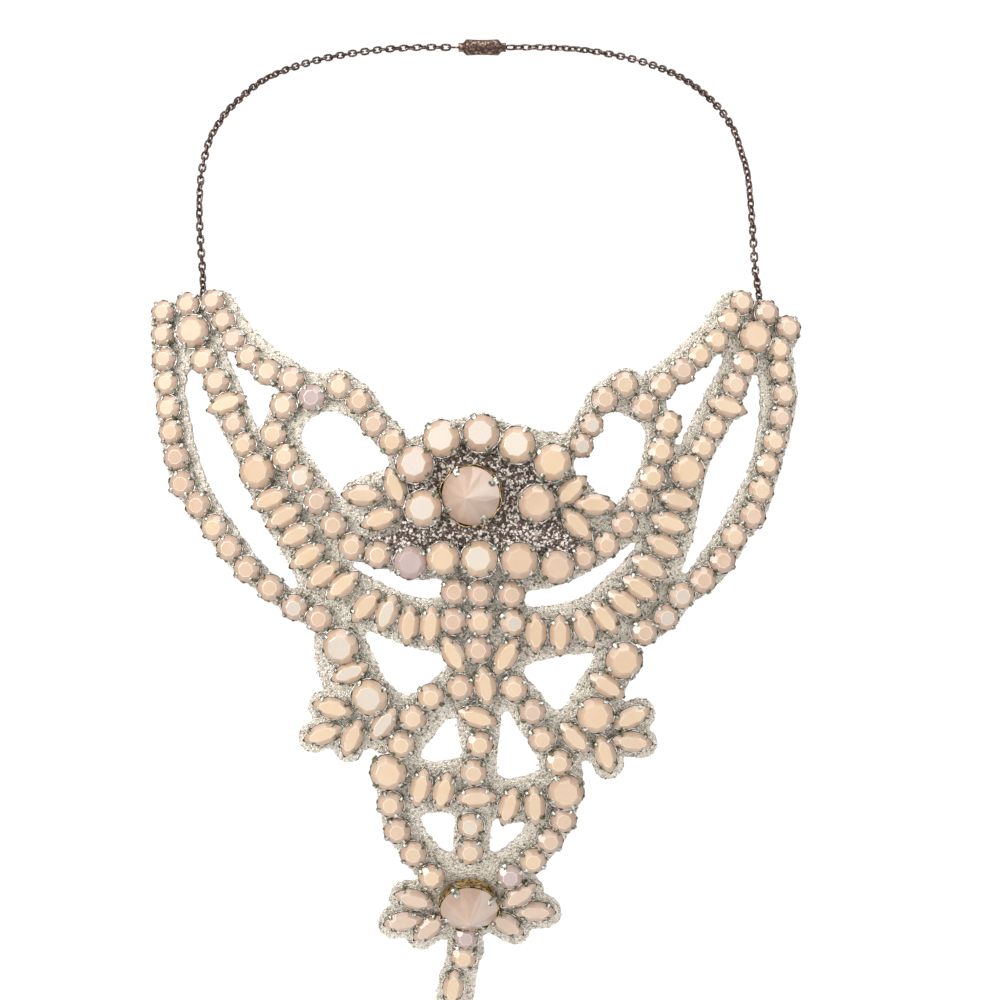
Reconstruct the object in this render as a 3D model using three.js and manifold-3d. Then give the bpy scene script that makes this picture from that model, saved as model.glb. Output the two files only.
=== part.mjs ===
// Bib necklace: rows of cut stones sewn on an openwork cloth that curves over the chest,
// held round the neck by a fine chain. Millimetres, +Z up, the front faces -Y.
// The origin is where the clasp rests on the back of the neck.

import * as THREE from 'three';
import { mergeVertices } from 'three/addons/utils/BufferGeometryUtils.js';
import Module from 'manifold-3d';

const wasm = await Module();
wasm.setup();

// Driving dimensions of the bib as it is worn
const BIB_HALF_WIDTH = 78;
const BIB_DROP = 172.8;
const CHEST_RADIUS_ACROSS = 190;
const CHEST_RADIUS_DOWN = 195;
const CREST_BELOW_TOP = 50.4;
const VIEW_DISTANCE = 900;

// Where the bib hangs, measured from the back of the neck
const CREST_FORWARD = 112;
const TOP_BELOW_NAPE = 72;

// Cloth
const CLOTH_THICKNESS = 1.5;
const GROUND_THICKNESS = 1;
const CLOTH_CELL = 9;
const CLOTH_MARGIN = 8;
const GROUND_CLEARANCE = 0.45;
const SEAM_GAP = 0.3;

// Stones, measured over their settings
const SMALL_WIDTH = 5.9;
const LARGE_WIDTH = 8.2;
const NAVETTE_LENGTH = 10;
const NAVETTE_WIDTH = 4.9;
const RIVOLI_WIDTH = 14.4;
const CHATON_WALL = 1.7;
const CHATON_HEIGHT = 3.1;
const LARGE_WALL = 2;
const LARGE_HEIGHT = 3.9;
const RIVOLI_WALL = 3;
const RIVOLI_HEIGHT = 9;
const ROW_SLACK = 0.97;
const CLAW_WIDTH = 1.1;
const CLAW_REACH = 2.6;
const CLAW_COUNT = 4;

// Chain and clasp
const CHAIN_WIDTH = 2.4;
const CHAIN_STEP = 6;
const CHAIN_SIDES = 8;
const CLASP_LENGTH = 13;
const CLASP_WIDTH = 4.4;
const CLASP_NECK = 2.2;
const CLASP_SIDES = 12;

// Rows of stones: S small round, L large round, N navette set across the row.
// Points are shares of BIB_HALF_WIDTH across and of BIB_DROP down.
// The hems, in millimetres, are the cloth left of and right of the stones, going down the row.
// Leans, in degrees, turn single stones of the row.
const ROWS = {
  outer_left: {
    stones: 'SSSSSSSSSSSSSSS', hemLeft: 2.2, hemRight: 0.5,
    points: [[-0.978, 0.031], [-0.975, 0.097], [-0.954, 0.197], [-0.919, 0.269],
      [-0.819, 0.330], [-0.718, 0.388], [-0.571, 0.440], [-0.497, 0.457]],
  },
  outer_right: {
    stones: 'SSSSSSSSSSSSSSS', hemLeft: 1.4, hemRight: 2.2,
    points: [[0.949, 0.053], [0.926, 0.113], [0.926, 0.178], [0.887, 0.243],
      [0.838, 0.314], [0.746, 0.376], [0.618, 0.427], [0.506, 0.476]],
  },
  second_left: {
    stones: 'SLSSNSSL', hemLeft: 2, hemRight: 0.8,
    points: [[-0.902, 0.020], [-0.888, 0.057], [-0.813, 0.127], [-0.758, 0.186], [-0.688, 0.252]],
  },
  second_right: {
    stones: 'SLSSNSSL', leans: [0, 0, 0, 0, 9, 0, 0, 0], hemLeft: 0.8, hemRight: 2,
    points: [[0.882, 0.031], [0.849, 0.065], [0.784, 0.132], [0.722, 0.190], [0.639, 0.252]],
  },
  neckline_left: {
    stones: 'SSSSSSSSSSS', hemLeft: 1.6, hemRight: 0.5,
    points: [[-0.826, 0.016], [-0.762, 0.069], [-0.656, 0.113], [-0.582, 0.126],
      [-0.518, 0.147], [-0.434, 0.135], [-0.374, 0.154], [-0.271, 0.211]],
  },
  neckline_right: {
    stones: 'SSSSSSSSSSS', hemLeft: 0.5, hemRight: 1.6,
    points: [[0.806, 0.017], [0.729, 0.070], [0.622, 0.113], [0.563, 0.133],
      [0.510, 0.160], [0.446, 0.133], [0.383, 0.153], [0.309, 0.215]],
  },
  inner_left: {
    stones: 'SSSSSSSS', hemLeft: 2, hemRight: 1,
    points: [[-0.609, 0.163], [-0.634, 0.200], [-0.600, 0.232], [-0.501, 0.293],
      [-0.396, 0.357], [-0.312, 0.368]],
  },
  inner_right: {
    stones: 'SSSSSSS', hemLeft: 1, hemRight: 2,
    points: [[0.581, 0.186], [0.531, 0.261], [0.446, 0.326], [0.327, 0.371]],
  },
  fan_left: {
    stones: 'NNNNNNNNNN', hemLeft: 1.5, hemRight: 1,
    points: [[-0.644, 0.291], [-0.565, 0.341], [-0.483, 0.393], [-0.354, 0.436],
      [-0.225, 0.461], [-0.159, 0.466]],
  },
  fan_right: {
    stones: 'NNNNNNNNNN', hemLeft: 1, hemRight: 1.5,
    points: [[0.612, 0.293], [0.566, 0.356], [0.494, 0.414], [0.384, 0.455],
      [0.247, 0.479], [0.170, 0.476]],
  },
  branch_left: {
    stones: 'LNL', hemLeft: 1.4, hemRight: 1,
    points: [[-0.427, 0.495], [-0.399, 0.530], [-0.337, 0.566]],
  },
  branch_right: {
    stones: 'LNL', hemLeft: 0.3, hemRight: 1.4,
    points: [[0.443, 0.515], [0.391, 0.550], [0.356, 0.591]],
  },
  arc_left: {
    stones: 'SSSSLSSSS', hemLeft: 1.8, hemRight: 0.3,
    points: [[-0.062, 0.553], [-0.151, 0.565], [-0.242, 0.632], [-0.282, 0.671],
      [-0.277, 0.715], [-0.206, 0.784], [-0.150, 0.815]],
  },
  arc_right: {
    stones: 'SSSSLSSSS', hemLeft: 0.3, hemRight: 1.8,
    points: [[0.105, 0.553], [0.190, 0.624], [0.265, 0.698], [0.256, 0.737],
      [0.162, 0.793], [0.091, 0.815]],
  },
  pair_left: {
    stones: 'NN', leans: [-6, -6], hemLeft: 1.6, hemRight: 1.2, points: [[-0.187, 0.692], [-0.119, 0.696]],
  },
  pair_right: {
    stones: 'NN', leans: [-19, 2], hemLeft: 1.6, hemRight: 1.2, points: [[0.089, 0.717], [0.167, 0.717]],
  },
  block_left: { stones: 'SS', hemLeft: 1.6, hemRight: 1, points: [[-0.080, 0.419], [-0.084, 0.460]] },
  block_middle: {
    stones: 'SSS', hemLeft: 2, hemRight: 2, points: [[0.002, 0.422], [0.002, 0.461], [-0.005, 0.501]],
  },
  block_right: { stones: 'SS', hemLeft: 1, hemRight: 1.6, points: [[0.096, 0.423], [0.096, 0.463]] },
  stem: {
    stones: 'NSSNSS', leans: [-16, 0, 0, 3, 0, 0], hemLeft: 1.6, hemRight: 1.6,
    points: [[-0.007, 0.594], [-0.020, 0.671], [-0.030, 0.781]],
  },
  tail: {
    stones: 'SS', hemLeft: 2, hemRight: 1.4, points: [[-0.045, 0.900], [-0.053, 0.928]],
  },
  eye_upper: {
    stones: 'LLLLL', hemLeft: 0.6, hemRight: 0.6,
    points: [[-0.198, 0.243], [-0.115, 0.207], [0.008, 0.199], [0.118, 0.215], [0.226, 0.240]],
  },
  eye_lower: {
    stones: 'LLLLL', hemLeft: 1, hemRight: 1.4,
    points: [[-0.222, 0.381], [-0.113, 0.373], [0.002, 0.375], [0.120, 0.377], [0.235, 0.385]],
  },
};

// Single stones: place as shares across and down, turn in degrees from level, rising to the right.
const SINGLES = {
  eye_chaton_left: { cut: 'L', across: -0.172, down: 0.304, turn: 0 },
  eye_chaton_right: { cut: 'L', across: 0.176, down: 0.297, turn: 0 },
  eye_petal_left_1: { cut: 'N', across: -0.260, down: 0.273, turn: -68 },
  eye_petal_left_2: { cut: 'N', across: -0.362, down: 0.286, turn: -2 },
  eye_petal_left_3: { cut: 'N', across: -0.306, down: 0.318, turn: 19 },
  eye_petal_right_1: { cut: 'N', across: 0.279, down: 0.280, turn: 44 },
  eye_petal_right_2: { cut: 'N', across: 0.358, down: 0.299, turn: -3 },
  eye_petal_right_3: { cut: 'N', across: 0.298, down: 0.326, turn: -47 },
  centre_petal_left: { cut: 'N', across: -0.084, down: 0.508, turn: -61 },
  centre_petal_right: { cut: 'N', across: 0.082, down: 0.510, turn: 59 },
  centre_petal_low: { cut: 'N', across: 0.017, down: 0.551, turn: -80 },
  flower_petal_left_1: { cut: 'N', across: -0.453, down: 0.582, turn: -14 },
  flower_petal_left_2: { cut: 'N', across: -0.483, down: 0.617, turn: 17 },
  flower_petal_left_3: { cut: 'N', across: -0.394, down: 0.622, turn: 67 },
  flower_petal_left_4: { cut: 'N', across: -0.295, down: 0.603, turn: 53 },
  flower_petal_right_1: { cut: 'N', across: 0.464, down: 0.593, turn: 25 },
  flower_petal_right_2: { cut: 'N', across: 0.468, down: 0.627, turn: -5 },
  flower_petal_right_3: { cut: 'N', across: 0.384, down: 0.644, turn: -73 },
  flower_petal_right_4: { cut: 'N', across: 0.290, down: 0.622, turn: -46 },
  tail_petal_left_1: { cut: 'N', across: -0.204, down: 0.847, turn: -14 },
  tail_petal_left_2: { cut: 'N', across: -0.243, down: 0.876, turn: 7 },
  tail_petal_left_3: { cut: 'N', across: -0.158, down: 0.887, turn: 34 },
  tail_petal_right_1: { cut: 'N', across: 0.121, down: 0.842, turn: 30 },
  tail_petal_right_2: { cut: 'N', across: 0.169, down: 0.865, turn: 0 },
  tail_petal_right_3: { cut: 'N', across: 0.091, down: 0.884, turn: -29 },
  tail_petal_end: { cut: 'N', across: -0.085, down: 0.969, turn: 81 },
  rivoli_eye: { cut: 'R', across: -0.020, down: 0.283, turn: 0 },
  rivoli_tail: { cut: 'R', across: -0.036, down: 0.856, turn: 0 },
};

// Hems, in millimetres, of the cloth round single stones, by the first word of the stone's name.
const SINGLE_HEMS = { eye: 1, centre: 1, flower: 2, tail: 1.5, rivoli: 1 };

// Rows of stones that are sewn into one body.
const BODIES = {
  outer_column_left: ['outer_left'],
  outer_column_right: ['outer_right'],
  second_column_left: ['second_left'],
  second_column_right: ['second_right'],
  neckline_row_left: ['neckline_left'],
  neckline_row_right: ['neckline_right'],
  inner_row_left: ['inner_left'],
  inner_row_right: ['inner_right'],
  fan_row_left: ['fan_left'],
  fan_row_right: ['fan_right'],
  branch_row_left: ['branch_left'],
  branch_row_right: ['branch_right'],
  arc_row_left: ['arc_left', 'pair_left'],
  arc_row_right: ['arc_right', 'pair_right'],
  centre_block: ['block_left', 'block_middle', 'block_right'],
  stem_row: ['stem'],
  tail_row: ['tail'],
};

// Rows whose stones are separate bodies.
const LOOSE_ROWS = { eye_chaton_upper: 'eye_upper', eye_chaton_lower: 'eye_lower' };

// Single stones that stand on the dark ground of the eye and not on the cloth.
const RAISED = ['eye_chaton_left', 'eye_chaton_right', 'rivoli_eye'];

// The cloth's outline runs along these rows, from one share of the row's length to another.
const GROUND_RING = [['outer_left', 0, 1], ['branch_left', 0, 1], ['arc_left', 0.3, 1],
  ['arc_right', 1, 0.3], ['branch_right', 1, 0], ['outer_right', 1, 0], ['neckline_right', 0, 1],
  ['eye_upper', 1, 0], ['neckline_left', 1, 0]];

// Strips of cloth that run beside or between the stones: width in millimetres and middle line.
const STRIPS = {
  neck_edge_left: {
    width: 3.4,
    points: [[-0.782, 0.011], [-0.717, 0.058], [-0.615, 0.096], [-0.517, 0.122], [-0.415, 0.126]],
  },
  neck_edge_right: {
    width: 4.4,
    points: [[0.763, 0.014], [0.695, 0.058], [0.591, 0.102], [0.492, 0.133], [0.425, 0.131]],
  },
  eye_corner_left: { width: 3.4, points: [[-0.262, 0.224], [-0.191, 0.210]] },
  eye_corner_right: { width: 4.8, points: [[0.138, 0.203], [0.280, 0.213]] },
  branch_edge_left: { width: 4.4, points: [[-0.489, 0.486], [-0.483, 0.517], [-0.452, 0.560]] },
  flower_heart_left: { width: 8, points: [[-0.430, 0.580], [-0.345, 0.606]] },
  flower_heart_right: { width: 8, points: [[0.412, 0.608], [0.357, 0.622]] },
  flower_foot_left: { width: 4, points: [[-0.394, 0.636], [-0.332, 0.625], [-0.285, 0.640]] },
  arc_edge_right: { width: 4, points: [[0.277, 0.632], [0.298, 0.674]] },
  tail_heart: { width: 6, points: [[-0.169, 0.828], [0.108, 0.825]] },
  tail_strip: { width: 8.8, points: [[-0.046, 0.882], [-0.055, 0.924], [-0.071, 0.965], [-0.077, 0.989]] },
};

// Gaps pierced through the cloth, each a smooth ring through its points, shares across and down.
const GAPS = {
  slit_left: [[-0.874, 0.108], [-0.818, 0.178], [-0.751, 0.239], [-0.717, 0.281], [-0.658, 0.333],
    [-0.597, 0.378], [-0.566, 0.410], [-0.603, 0.406], [-0.683, 0.369], [-0.763, 0.319],
    [-0.837, 0.267], [-0.883, 0.197], [-0.905, 0.132]],
  slit_right: [[0.852, 0.114], [0.852, 0.194], [0.806, 0.264], [0.714, 0.340], [0.618, 0.399],
    [0.658, 0.347], [0.686, 0.285], [0.714, 0.239], [0.769, 0.194], [0.818, 0.149]],
  shoulder_left: [[-0.778, 0.083], [-0.708, 0.119], [-0.622, 0.144], [-0.658, 0.169],
    [-0.683, 0.189], [-0.726, 0.142]],
  shoulder_right: [[0.745, 0.092], [0.677, 0.114], [0.578, 0.153], [0.609, 0.192],
    [0.606, 0.215], [0.658, 0.169]],
  wing_left: [[-0.498, 0.174], [-0.415, 0.176], [-0.338, 0.208], [-0.283, 0.242], [-0.363, 0.257],
    [-0.428, 0.275], [-0.400, 0.301], [-0.449, 0.275], [-0.492, 0.247], [-0.548, 0.203]],
  wing_right: [[0.394, 0.172], [0.455, 0.178], [0.502, 0.197], [0.486, 0.244],
    [0.415, 0.296], [0.345, 0.269], [0.292, 0.244], [0.345, 0.208]],
  crescent_left: [[-0.394, 0.379], [-0.292, 0.389], [-0.209, 0.404], [-0.123, 0.404],
    [-0.123, 0.424], [-0.215, 0.422], [-0.323, 0.400]],
  crescent_right: [[0.145, 0.422], [0.246, 0.412], [0.369, 0.385], [0.480, 0.351],
    [0.406, 0.389], [0.308, 0.426], [0.215, 0.436], [0.145, 0.436]],
  branch_gap_left: [[-0.345, 0.476], [-0.231, 0.496], [-0.111, 0.511], [-0.129, 0.531],
    [-0.222, 0.561], [-0.283, 0.542], [-0.320, 0.508]],
  branch_gap_right: [[0.145, 0.524], [0.338, 0.507], [0.295, 0.546], [0.243, 0.582], [0.191, 0.558]],
  stem_gap_left: [[-0.086, 0.596], [-0.071, 0.618], [-0.071, 0.649], [-0.175, 0.650], [-0.148, 0.625]],
  stem_gap_right: [[0.080, 0.586], [0.117, 0.613], [0.151, 0.632], [0.172, 0.667],
    [0.065, 0.675], [0.062, 0.625]],
  stem_gap_low_left: [[-0.175, 0.731], [-0.089, 0.731], [-0.089, 0.758], [-0.098, 0.781],
    [-0.157, 0.756]],
  stem_gap_low_right: [[0.043, 0.736], [0.074, 0.743], [0.135, 0.743], [0.080, 0.772], [0.034, 0.779]],
};

// Where each side's chain meets the cloth's top edge, shares across and down.
const CHAIN_ENDS = { left: [-0.854, -0.006], right: [0.855, 0] };

// Route of the chain on each side, from the bib's top up over the shoulder to the clasp:
// shares, right, forward and down, of the way from the nape to where the chain meets the cloth.
const CHAIN_ROUTE = {
  left: [
    [1.000, 1.000, 1.000], [1.004, 0.968, 0.957], [1.016, 0.914, 0.860], [1.029, 0.849, 0.734],
    [1.032, 0.785, 0.610], [1.026, 0.742, 0.537], [1.010, 0.688, 0.450], [0.981, 0.634, 0.380],
    [0.937, 0.559, 0.306], [0.824, 0.409, 0.185], [0.647, 0.242, 0.093], [0.441, 0.108, 0.034],
    [0.265, 0.017, 0.007],
  ],
  right: [
    [1.000, 1.000, 1.000], [0.994, 0.949, 0.927], [0.991, 0.900, 0.823], [0.990, 0.847, 0.723],
    [0.982, 0.766, 0.574], [0.962, 0.707, 0.479], [0.937, 0.648, 0.393], [0.872, 0.536, 0.284],
    [0.764, 0.386, 0.176], [0.617, 0.236, 0.093], [0.426, 0.107, 0.034], [0.264, 0.017, 0.007],
  ],
};

// Outline of the dark ground inside the eye, shares across and down.
const EYE_GROUND = [[-0.228, 0.290], [-0.190, 0.250], [-0.110, 0.222], [0.006, 0.214],
  [0.105, 0.228], [0.215, 0.262], [0.236, 0.300], [0.255, 0.335], [0.312, 0.352], [0.240, 0.366],
  [0.118, 0.362], [0.002, 0.360], [-0.115, 0.359], [-0.245, 0.364], [-0.345, 0.345],
  [-0.250, 0.335]];

// What is sewn on the cloth beside the dark ground, which is cut clear of it.
const BESIDE_GROUND = {
  rows: ['inner_left', 'inner_right'],
  singles: ['eye_petal_left_1', 'eye_petal_left_2', 'eye_petal_left_3', 'eye_petal_right_1',
    'eye_petal_right_2', 'eye_petal_right_3'],
};

const CREST_Z = -(TOP_BELOW_NAPE + CREST_BELOW_TOP);

// How far a place on the chest falls back behind its foremost point.
function fallBack(x, z) {
  const across = CHEST_RADIUS_ACROSS - Math.sqrt(CHEST_RADIUS_ACROSS ** 2 - x * x);
  const down = CHEST_RADIUS_DOWN - Math.sqrt(CHEST_RADIUS_DOWN ** 2 - z * z);
  return across + down;
}

// Place on the chest of a point of the front view, x from the middle and z above the foremost point.
function onChest(x, z) {
  const depth = fallBack(x, z);
  const widening = 1 + depth / VIEW_DISTANCE;
  return new THREE.Vector3(x * widening, depth - CREST_FORWARD, CREST_Z + z * widening);
}

const NORMAL_STEP = 0.5;

function chestNormal(x, z) {
  const across = onChest(x + NORMAL_STEP, z).sub(onChest(x - NORMAL_STEP, z));
  const up = onChest(x, z + NORMAL_STEP).sub(onChest(x, z - NORMAL_STEP));
  return across.cross(up).normalize();
}

function liftedPoint(x, z, lift) {
  return onChest(x, z).addScaledVector(chestNormal(x, z), lift);
}

// Front-view point of a pair of shares.
function frontPoint([across, down]) {
  return new THREE.Vector2(across * BIB_HALF_WIDTH, CREST_BELOW_TOP - down * BIB_DROP);
}

function toSolid(geometry) {
  const bare = geometry.index ? geometry.toNonIndexed() : geometry.clone();
  bare.deleteAttribute('normal');
  bare.deleteAttribute('uv');
  const merged = mergeVertices(bare, 1e-4);
  const corners = merged.index.array;
  const faces = [];
  for (let i = 0; i < corners.length; i += 3) {
    const [a, b, c] = [corners[i], corners[i + 1], corners[i + 2]];
    if (a !== b && b !== c && c !== a) faces.push(a, b, c);
  }
  return new wasm.Manifold(new wasm.Mesh({
    numProp: 3,
    vertProperties: new Float32Array(merged.attributes.position.array),
    triVerts: new Uint32Array(faces),
  }));
}

function toGeometry(solid) {
  const mesh = solid.getMesh();
  const geometry = new THREE.BufferGeometry();
  geometry.setAttribute('position', new THREE.BufferAttribute(mesh.vertProperties, 3));
  geometry.setIndex(new THREE.BufferAttribute(mesh.triVerts, 1));
  geometry.computeVertexNormals();
  return geometry;
}

function joined(solids) {
  return solids.reduce((whole, solid) => whole.add(solid));
}

// The biggest piece of what a cut leaves; the crumbs are dropped.
function biggestPiece(solid) {
  return solid.decompose().reduce((best, piece) => (piece.volume() > best.volume() ? piece : best));
}

// Stones

// Half sizes of each cut along and across, the setting's wall and the top above it,
// the share of the width that the table has, and the number of sides.
const CUTS = {
  S: {
    long: SMALL_WIDTH / 2, wide: SMALL_WIDTH / 2, wall: CHATON_WALL, top: CHATON_HEIGHT,
    table: 0.52, sides: 8,
  },
  L: {
    long: LARGE_WIDTH / 2, wide: LARGE_WIDTH / 2, wall: LARGE_WALL, top: LARGE_HEIGHT,
    table: 0.62, sides: 8,
  },
  N: {
    long: NAVETTE_LENGTH / 2, wide: NAVETTE_WIDTH / 2, wall: CHATON_WALL, top: CHATON_HEIGHT,
    table: 0.5, sides: 10, pointed: true,
  },
  R: {
    long: RIVOLI_WIDTH / 2, wide: RIVOLI_WIDTH / 2, wall: RIVOLI_WALL, top: RIVOLI_HEIGHT,
    table: 0.06, sides: 12,
  },
};
const FOOT_SHARE = 0.86;
const POINT_PINCH = 0.22;

// Corner of a cut's outline at a share of its size; the sides' flats face along and across.
function outlineCorner(cut, corner, share, slim) {
  const offset = cut.pointed ? 0 : 0.5;
  const angle = (corner + offset) * 2 * Math.PI / cut.sides;
  const flat = 1 / Math.cos(Math.PI / cut.sides);
  const pinch = cut.pointed ? 1 - POINT_PINCH * Math.cos(angle) ** 2 : 1;
  const along = cut.long * Math.cos(angle) * (cut.pointed ? 1 : flat * slim);
  const across = cut.wide * Math.sin(angle) * flat * pinch * (cut.pointed ? slim : 1);
  return [along * share, across * share];
}

// Rings of a setting with its stone that stands on z = 0: foot, girdle and table.
function stoneRings(place, lift) {
  const cut = CUTS[place.cut];
  const levels = [[FOOT_SHARE, 0], [1, cut.wall], [cut.table, cut.top]];
  const seat = seatMatrix(place, lift);
  return levels.map(([share, height]) => Array.from({ length: cut.sides }, (_, corner) => {
    const [along, across] = outlineCorner(cut, corner, share, place.slim ?? 1);
    return new THREE.Vector3(along, across, height).applyMatrix4(seat);
  }));
}

// Side of a stone's wall that faces another stone.
function facingSide(place, other) {
  const cut = CUTS[place.cut];
  const toward = Math.atan2(other.z - place.z, other.x - place.x) - place.turn;
  const shift = cut.pointed ? -0.5 : 0;
  const side = Math.round(toward / (2 * Math.PI / cut.sides) + shift) - (cut.pointed ? 0 : 1);
  return ((side % cut.sides) + cut.sides) % cut.sides;
}

// One closed body of stones whose settings are bridged, wall to wall, along the links.
function sewnGeometry(places, links, lift) {
  const corners = [];
  const faces = [];
  const stones = places.map((place) => {
    const first = corners.length;
    const rings = stoneRings(place, lift);
    rings.flat().forEach((corner) => corners.push(corner));
    return { place, first, sides: CUTS[place.cut].sides, open: new Set() };
  });
  const at = (stone, ring, corner) => stone.first + ring * stone.sides + corner % stone.sides;
  const quad = (a, b, c, d) => faces.push(a, b, c, a, c, d);
  for (const [from, to] of links) {
    const a = stones[from];
    const b = stones[to];
    const sideA = facingSide(a.place, b.place);
    const sideB = facingSide(b.place, a.place);
    a.open.add(sideA);
    b.open.add(sideB);
    const edgeA = [at(a, 0, sideA), at(a, 0, sideA + 1), at(a, 1, sideA + 1), at(a, 1, sideA)];
    const edgeB = [at(b, 0, sideB + 1), at(b, 0, sideB), at(b, 1, sideB), at(b, 1, sideB + 1)];
    for (let i = 0; i < 4; i += 1) {
      const next = (i + 1) % 4;
      quad(edgeA[i], edgeA[next], edgeB[next], edgeB[i]);
    }
  }
  for (const stone of stones) {
    for (let side = 0; side < stone.sides; side += 1) {
      if (!stone.open.has(side)) {
        quad(at(stone, 0, side), at(stone, 0, side + 1), at(stone, 1, side + 1), at(stone, 1, side));
      }
      quad(at(stone, 1, side), at(stone, 1, side + 1), at(stone, 2, side + 1), at(stone, 2, side));
    }
    for (let corner = 1; corner < stone.sides - 1; corner += 1) {
      faces.push(at(stone, 0, 0), at(stone, 0, corner + 1), at(stone, 0, corner));
      faces.push(at(stone, 2, 0), at(stone, 2, corner), at(stone, 2, corner + 1));
    }
  }
  const geometry = new THREE.BufferGeometry().setFromPoints(corners);
  geometry.setIndex(faces);
  geometry.computeVertexNormals();
  return geometry;
}

// Turn and place of a stone that stands on the chest: its place and its length's direction are
// those of its widest level as the front view shows them.
function seatMatrix(place, lift) {
  const level = lift + CUTS[place.cut].wall;
  const lean = chestNormal(place.x, place.z);
  const x = place.x - lean.x * level;
  const z = place.z - lean.z * level;
  const reachX = NORMAL_STEP * Math.cos(place.turn);
  const reachZ = NORMAL_STEP * Math.sin(place.turn);
  const normal = chestNormal(x, z);
  const long = onChest(x + reachX, z + reachZ).sub(onChest(x - reachX, z - reachZ));
  long.addScaledVector(normal, -long.dot(normal)).normalize();
  const side = new THREE.Vector3().crossVectors(normal, long);
  return new THREE.Matrix4().makeBasis(long, side, normal).setPosition(liftedPoint(x, z, lift));
}

const ON_CLOTH = SEAM_GAP;
const ON_GROUND = SEAM_GAP + GROUND_THICKNESS + SEAM_GAP;

// The big pointed stones have claws that stand at the wall and lean over the crown.
function rivoliGeometry(place, lift) {
  const solids = [toSolid(sewnGeometry([place], [], lift))];
  const seat = seatMatrix(place, lift);
  const lean = Math.atan2(RIVOLI_HEIGHT - RIVOLI_WALL, RIVOLI_WIDTH / 2);
  for (let claw = 0; claw < CLAW_COUNT; claw += 1) {
    const prong = new THREE.BoxGeometry(CLAW_REACH, CLAW_WIDTH, CLAW_WIDTH);
    prong.rotateY(lean);
    prong.translate(RIVOLI_WIDTH / 2 - CLAW_REACH / 2, 0, RIVOLI_WALL + CLAW_REACH * Math.sin(lean) / 2);
    prong.rotateZ((claw + 0.5) * 2 * Math.PI / CLAW_COUNT);
    solids.push(toSolid(prong.applyMatrix4(seat)));
  }
  return toGeometry(joined(solids));
}

function rowCurve(row) {
  const points = row.points.map(frontPoint).map((point) => new THREE.Vector3(point.x, point.y, 0));
  return new THREE.CatmullRomCurve3(points, false, 'centripetal');
}

// Half of the room that a stone takes along its row, and across it.
function halfAlong(kind) {
  return kind === 'N' ? CUTS.N.wide : CUTS[kind].wide;
}

function halfAcross(kind) {
  return kind === 'N' ? CUTS.N.long : CUTS[kind].wide;
}

// Places of a row's stones: side by side along the curve, with the slack shared out evenly.
// Where the row is tight the settings are slimmer along it, so that they stay clear.
function rowPlaces(row) {
  const curve = rowCurve(row);
  const kinds = [...row.stones];
  const stops = [0];
  for (let i = 1; i < kinds.length; i += 1) {
    stops.push(stops[i - 1] + halfAlong(kinds[i - 1]) + halfAlong(kinds[i]));
  }
  const full = stops.at(-1);
  const fill = curve.getLength() / full;
  return kinds.map((cut, i) => {
    const point = curve.getPointAt(stops[i] / full);
    const tangent = curve.getTangentAt(stops[i] / full);
    const along = Math.atan2(tangent.y, tangent.x);
    const lean = THREE.MathUtils.degToRad(row.leans?.[i] ?? 0);
    const turn = cut === 'N' ? along + Math.PI / 2 + lean : along;
    return { cut, x: point.x, z: point.y, turn, slim: Math.min(1, fill * ROW_SLACK) };
  });
}

// Rows sewn into one body: each stone is linked to the next, and each later row to the first
// row's nearest stone.
function sewnBody(rowNames) {
  const places = [];
  const links = [];
  for (const name of rowNames) {
    const start = places.length;
    const added = rowPlaces(ROWS[name]);
    if (start > 0) {
      const distance = (i, place) => Math.hypot(places[i].x - place.x, places[i].z - place.z);
      const pairs = added.flatMap((place, j) => places.map((_, i) => [i, start + j, distance(i, place)]));
      const [near, own] = pairs.reduce((best, pair) => (pair[2] < best[2] ? pair : best));
      links.push([near, own]);
    }
    places.push(...added);
    for (let i = start + 1; i < places.length; i += 1) links.push([i - 1, i]);
  }
  return sewnGeometry(places, links, ON_CLOTH);
}

// Cloth

const COLUMN_FRONT = 12;
const COLUMN_BACK = 90;
const BAND_STEP = 6;
const BAND_END = 0.55;
const GAP_STEP = 5;
const PAD_SIDES = 12;

// Column with the given front-view outline, running from in front of the chest to behind it.
function frontColumn(outline) {
  const column = new THREE.ExtrudeGeometry(new THREE.Shape(outline), {
    depth: COLUMN_FRONT + COLUMN_BACK, bevelEnabled: false, steps: 1,
  });
  column.rotateX(Math.PI / 2);
  column.translate(0, COLUMN_BACK, 0);
  const corners = column.attributes.position;
  for (let i = 0; i < corners.count; i += 1) {
    const depth = corners.getY(i);
    const widening = 1 + depth / VIEW_DISTANCE;
    const height = CREST_Z + corners.getZ(i) * widening;
    corners.setXYZ(i, corners.getX(i) * widening, depth - CREST_FORWARD, height);
  }
  return toSolid(column);
}

// Layer of cloth that follows the chest between two heights above it.
function clothLayer(low, high) {
  const width = 2 * (BIB_HALF_WIDTH + CLOTH_MARGIN);
  const height = BIB_DROP + 2 * CLOTH_MARGIN;
  const layer = new THREE.BoxGeometry(width, 1, height,
    Math.round(width / CLOTH_CELL), 1, Math.round(height / CLOTH_CELL));
  layer.translate(0, 0, CREST_BELOW_TOP - BIB_DROP / 2);
  const corners = layer.attributes.position;
  for (let i = 0; i < corners.count; i += 1) {
    const lift = corners.getY(i) < 0 ? high : low;
    const point = liftedPoint(corners.getX(i), corners.getZ(i), lift);
    corners.setXYZ(i, point.x, point.y, point.z);
  }
  return toSolid(layer);
}

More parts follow.
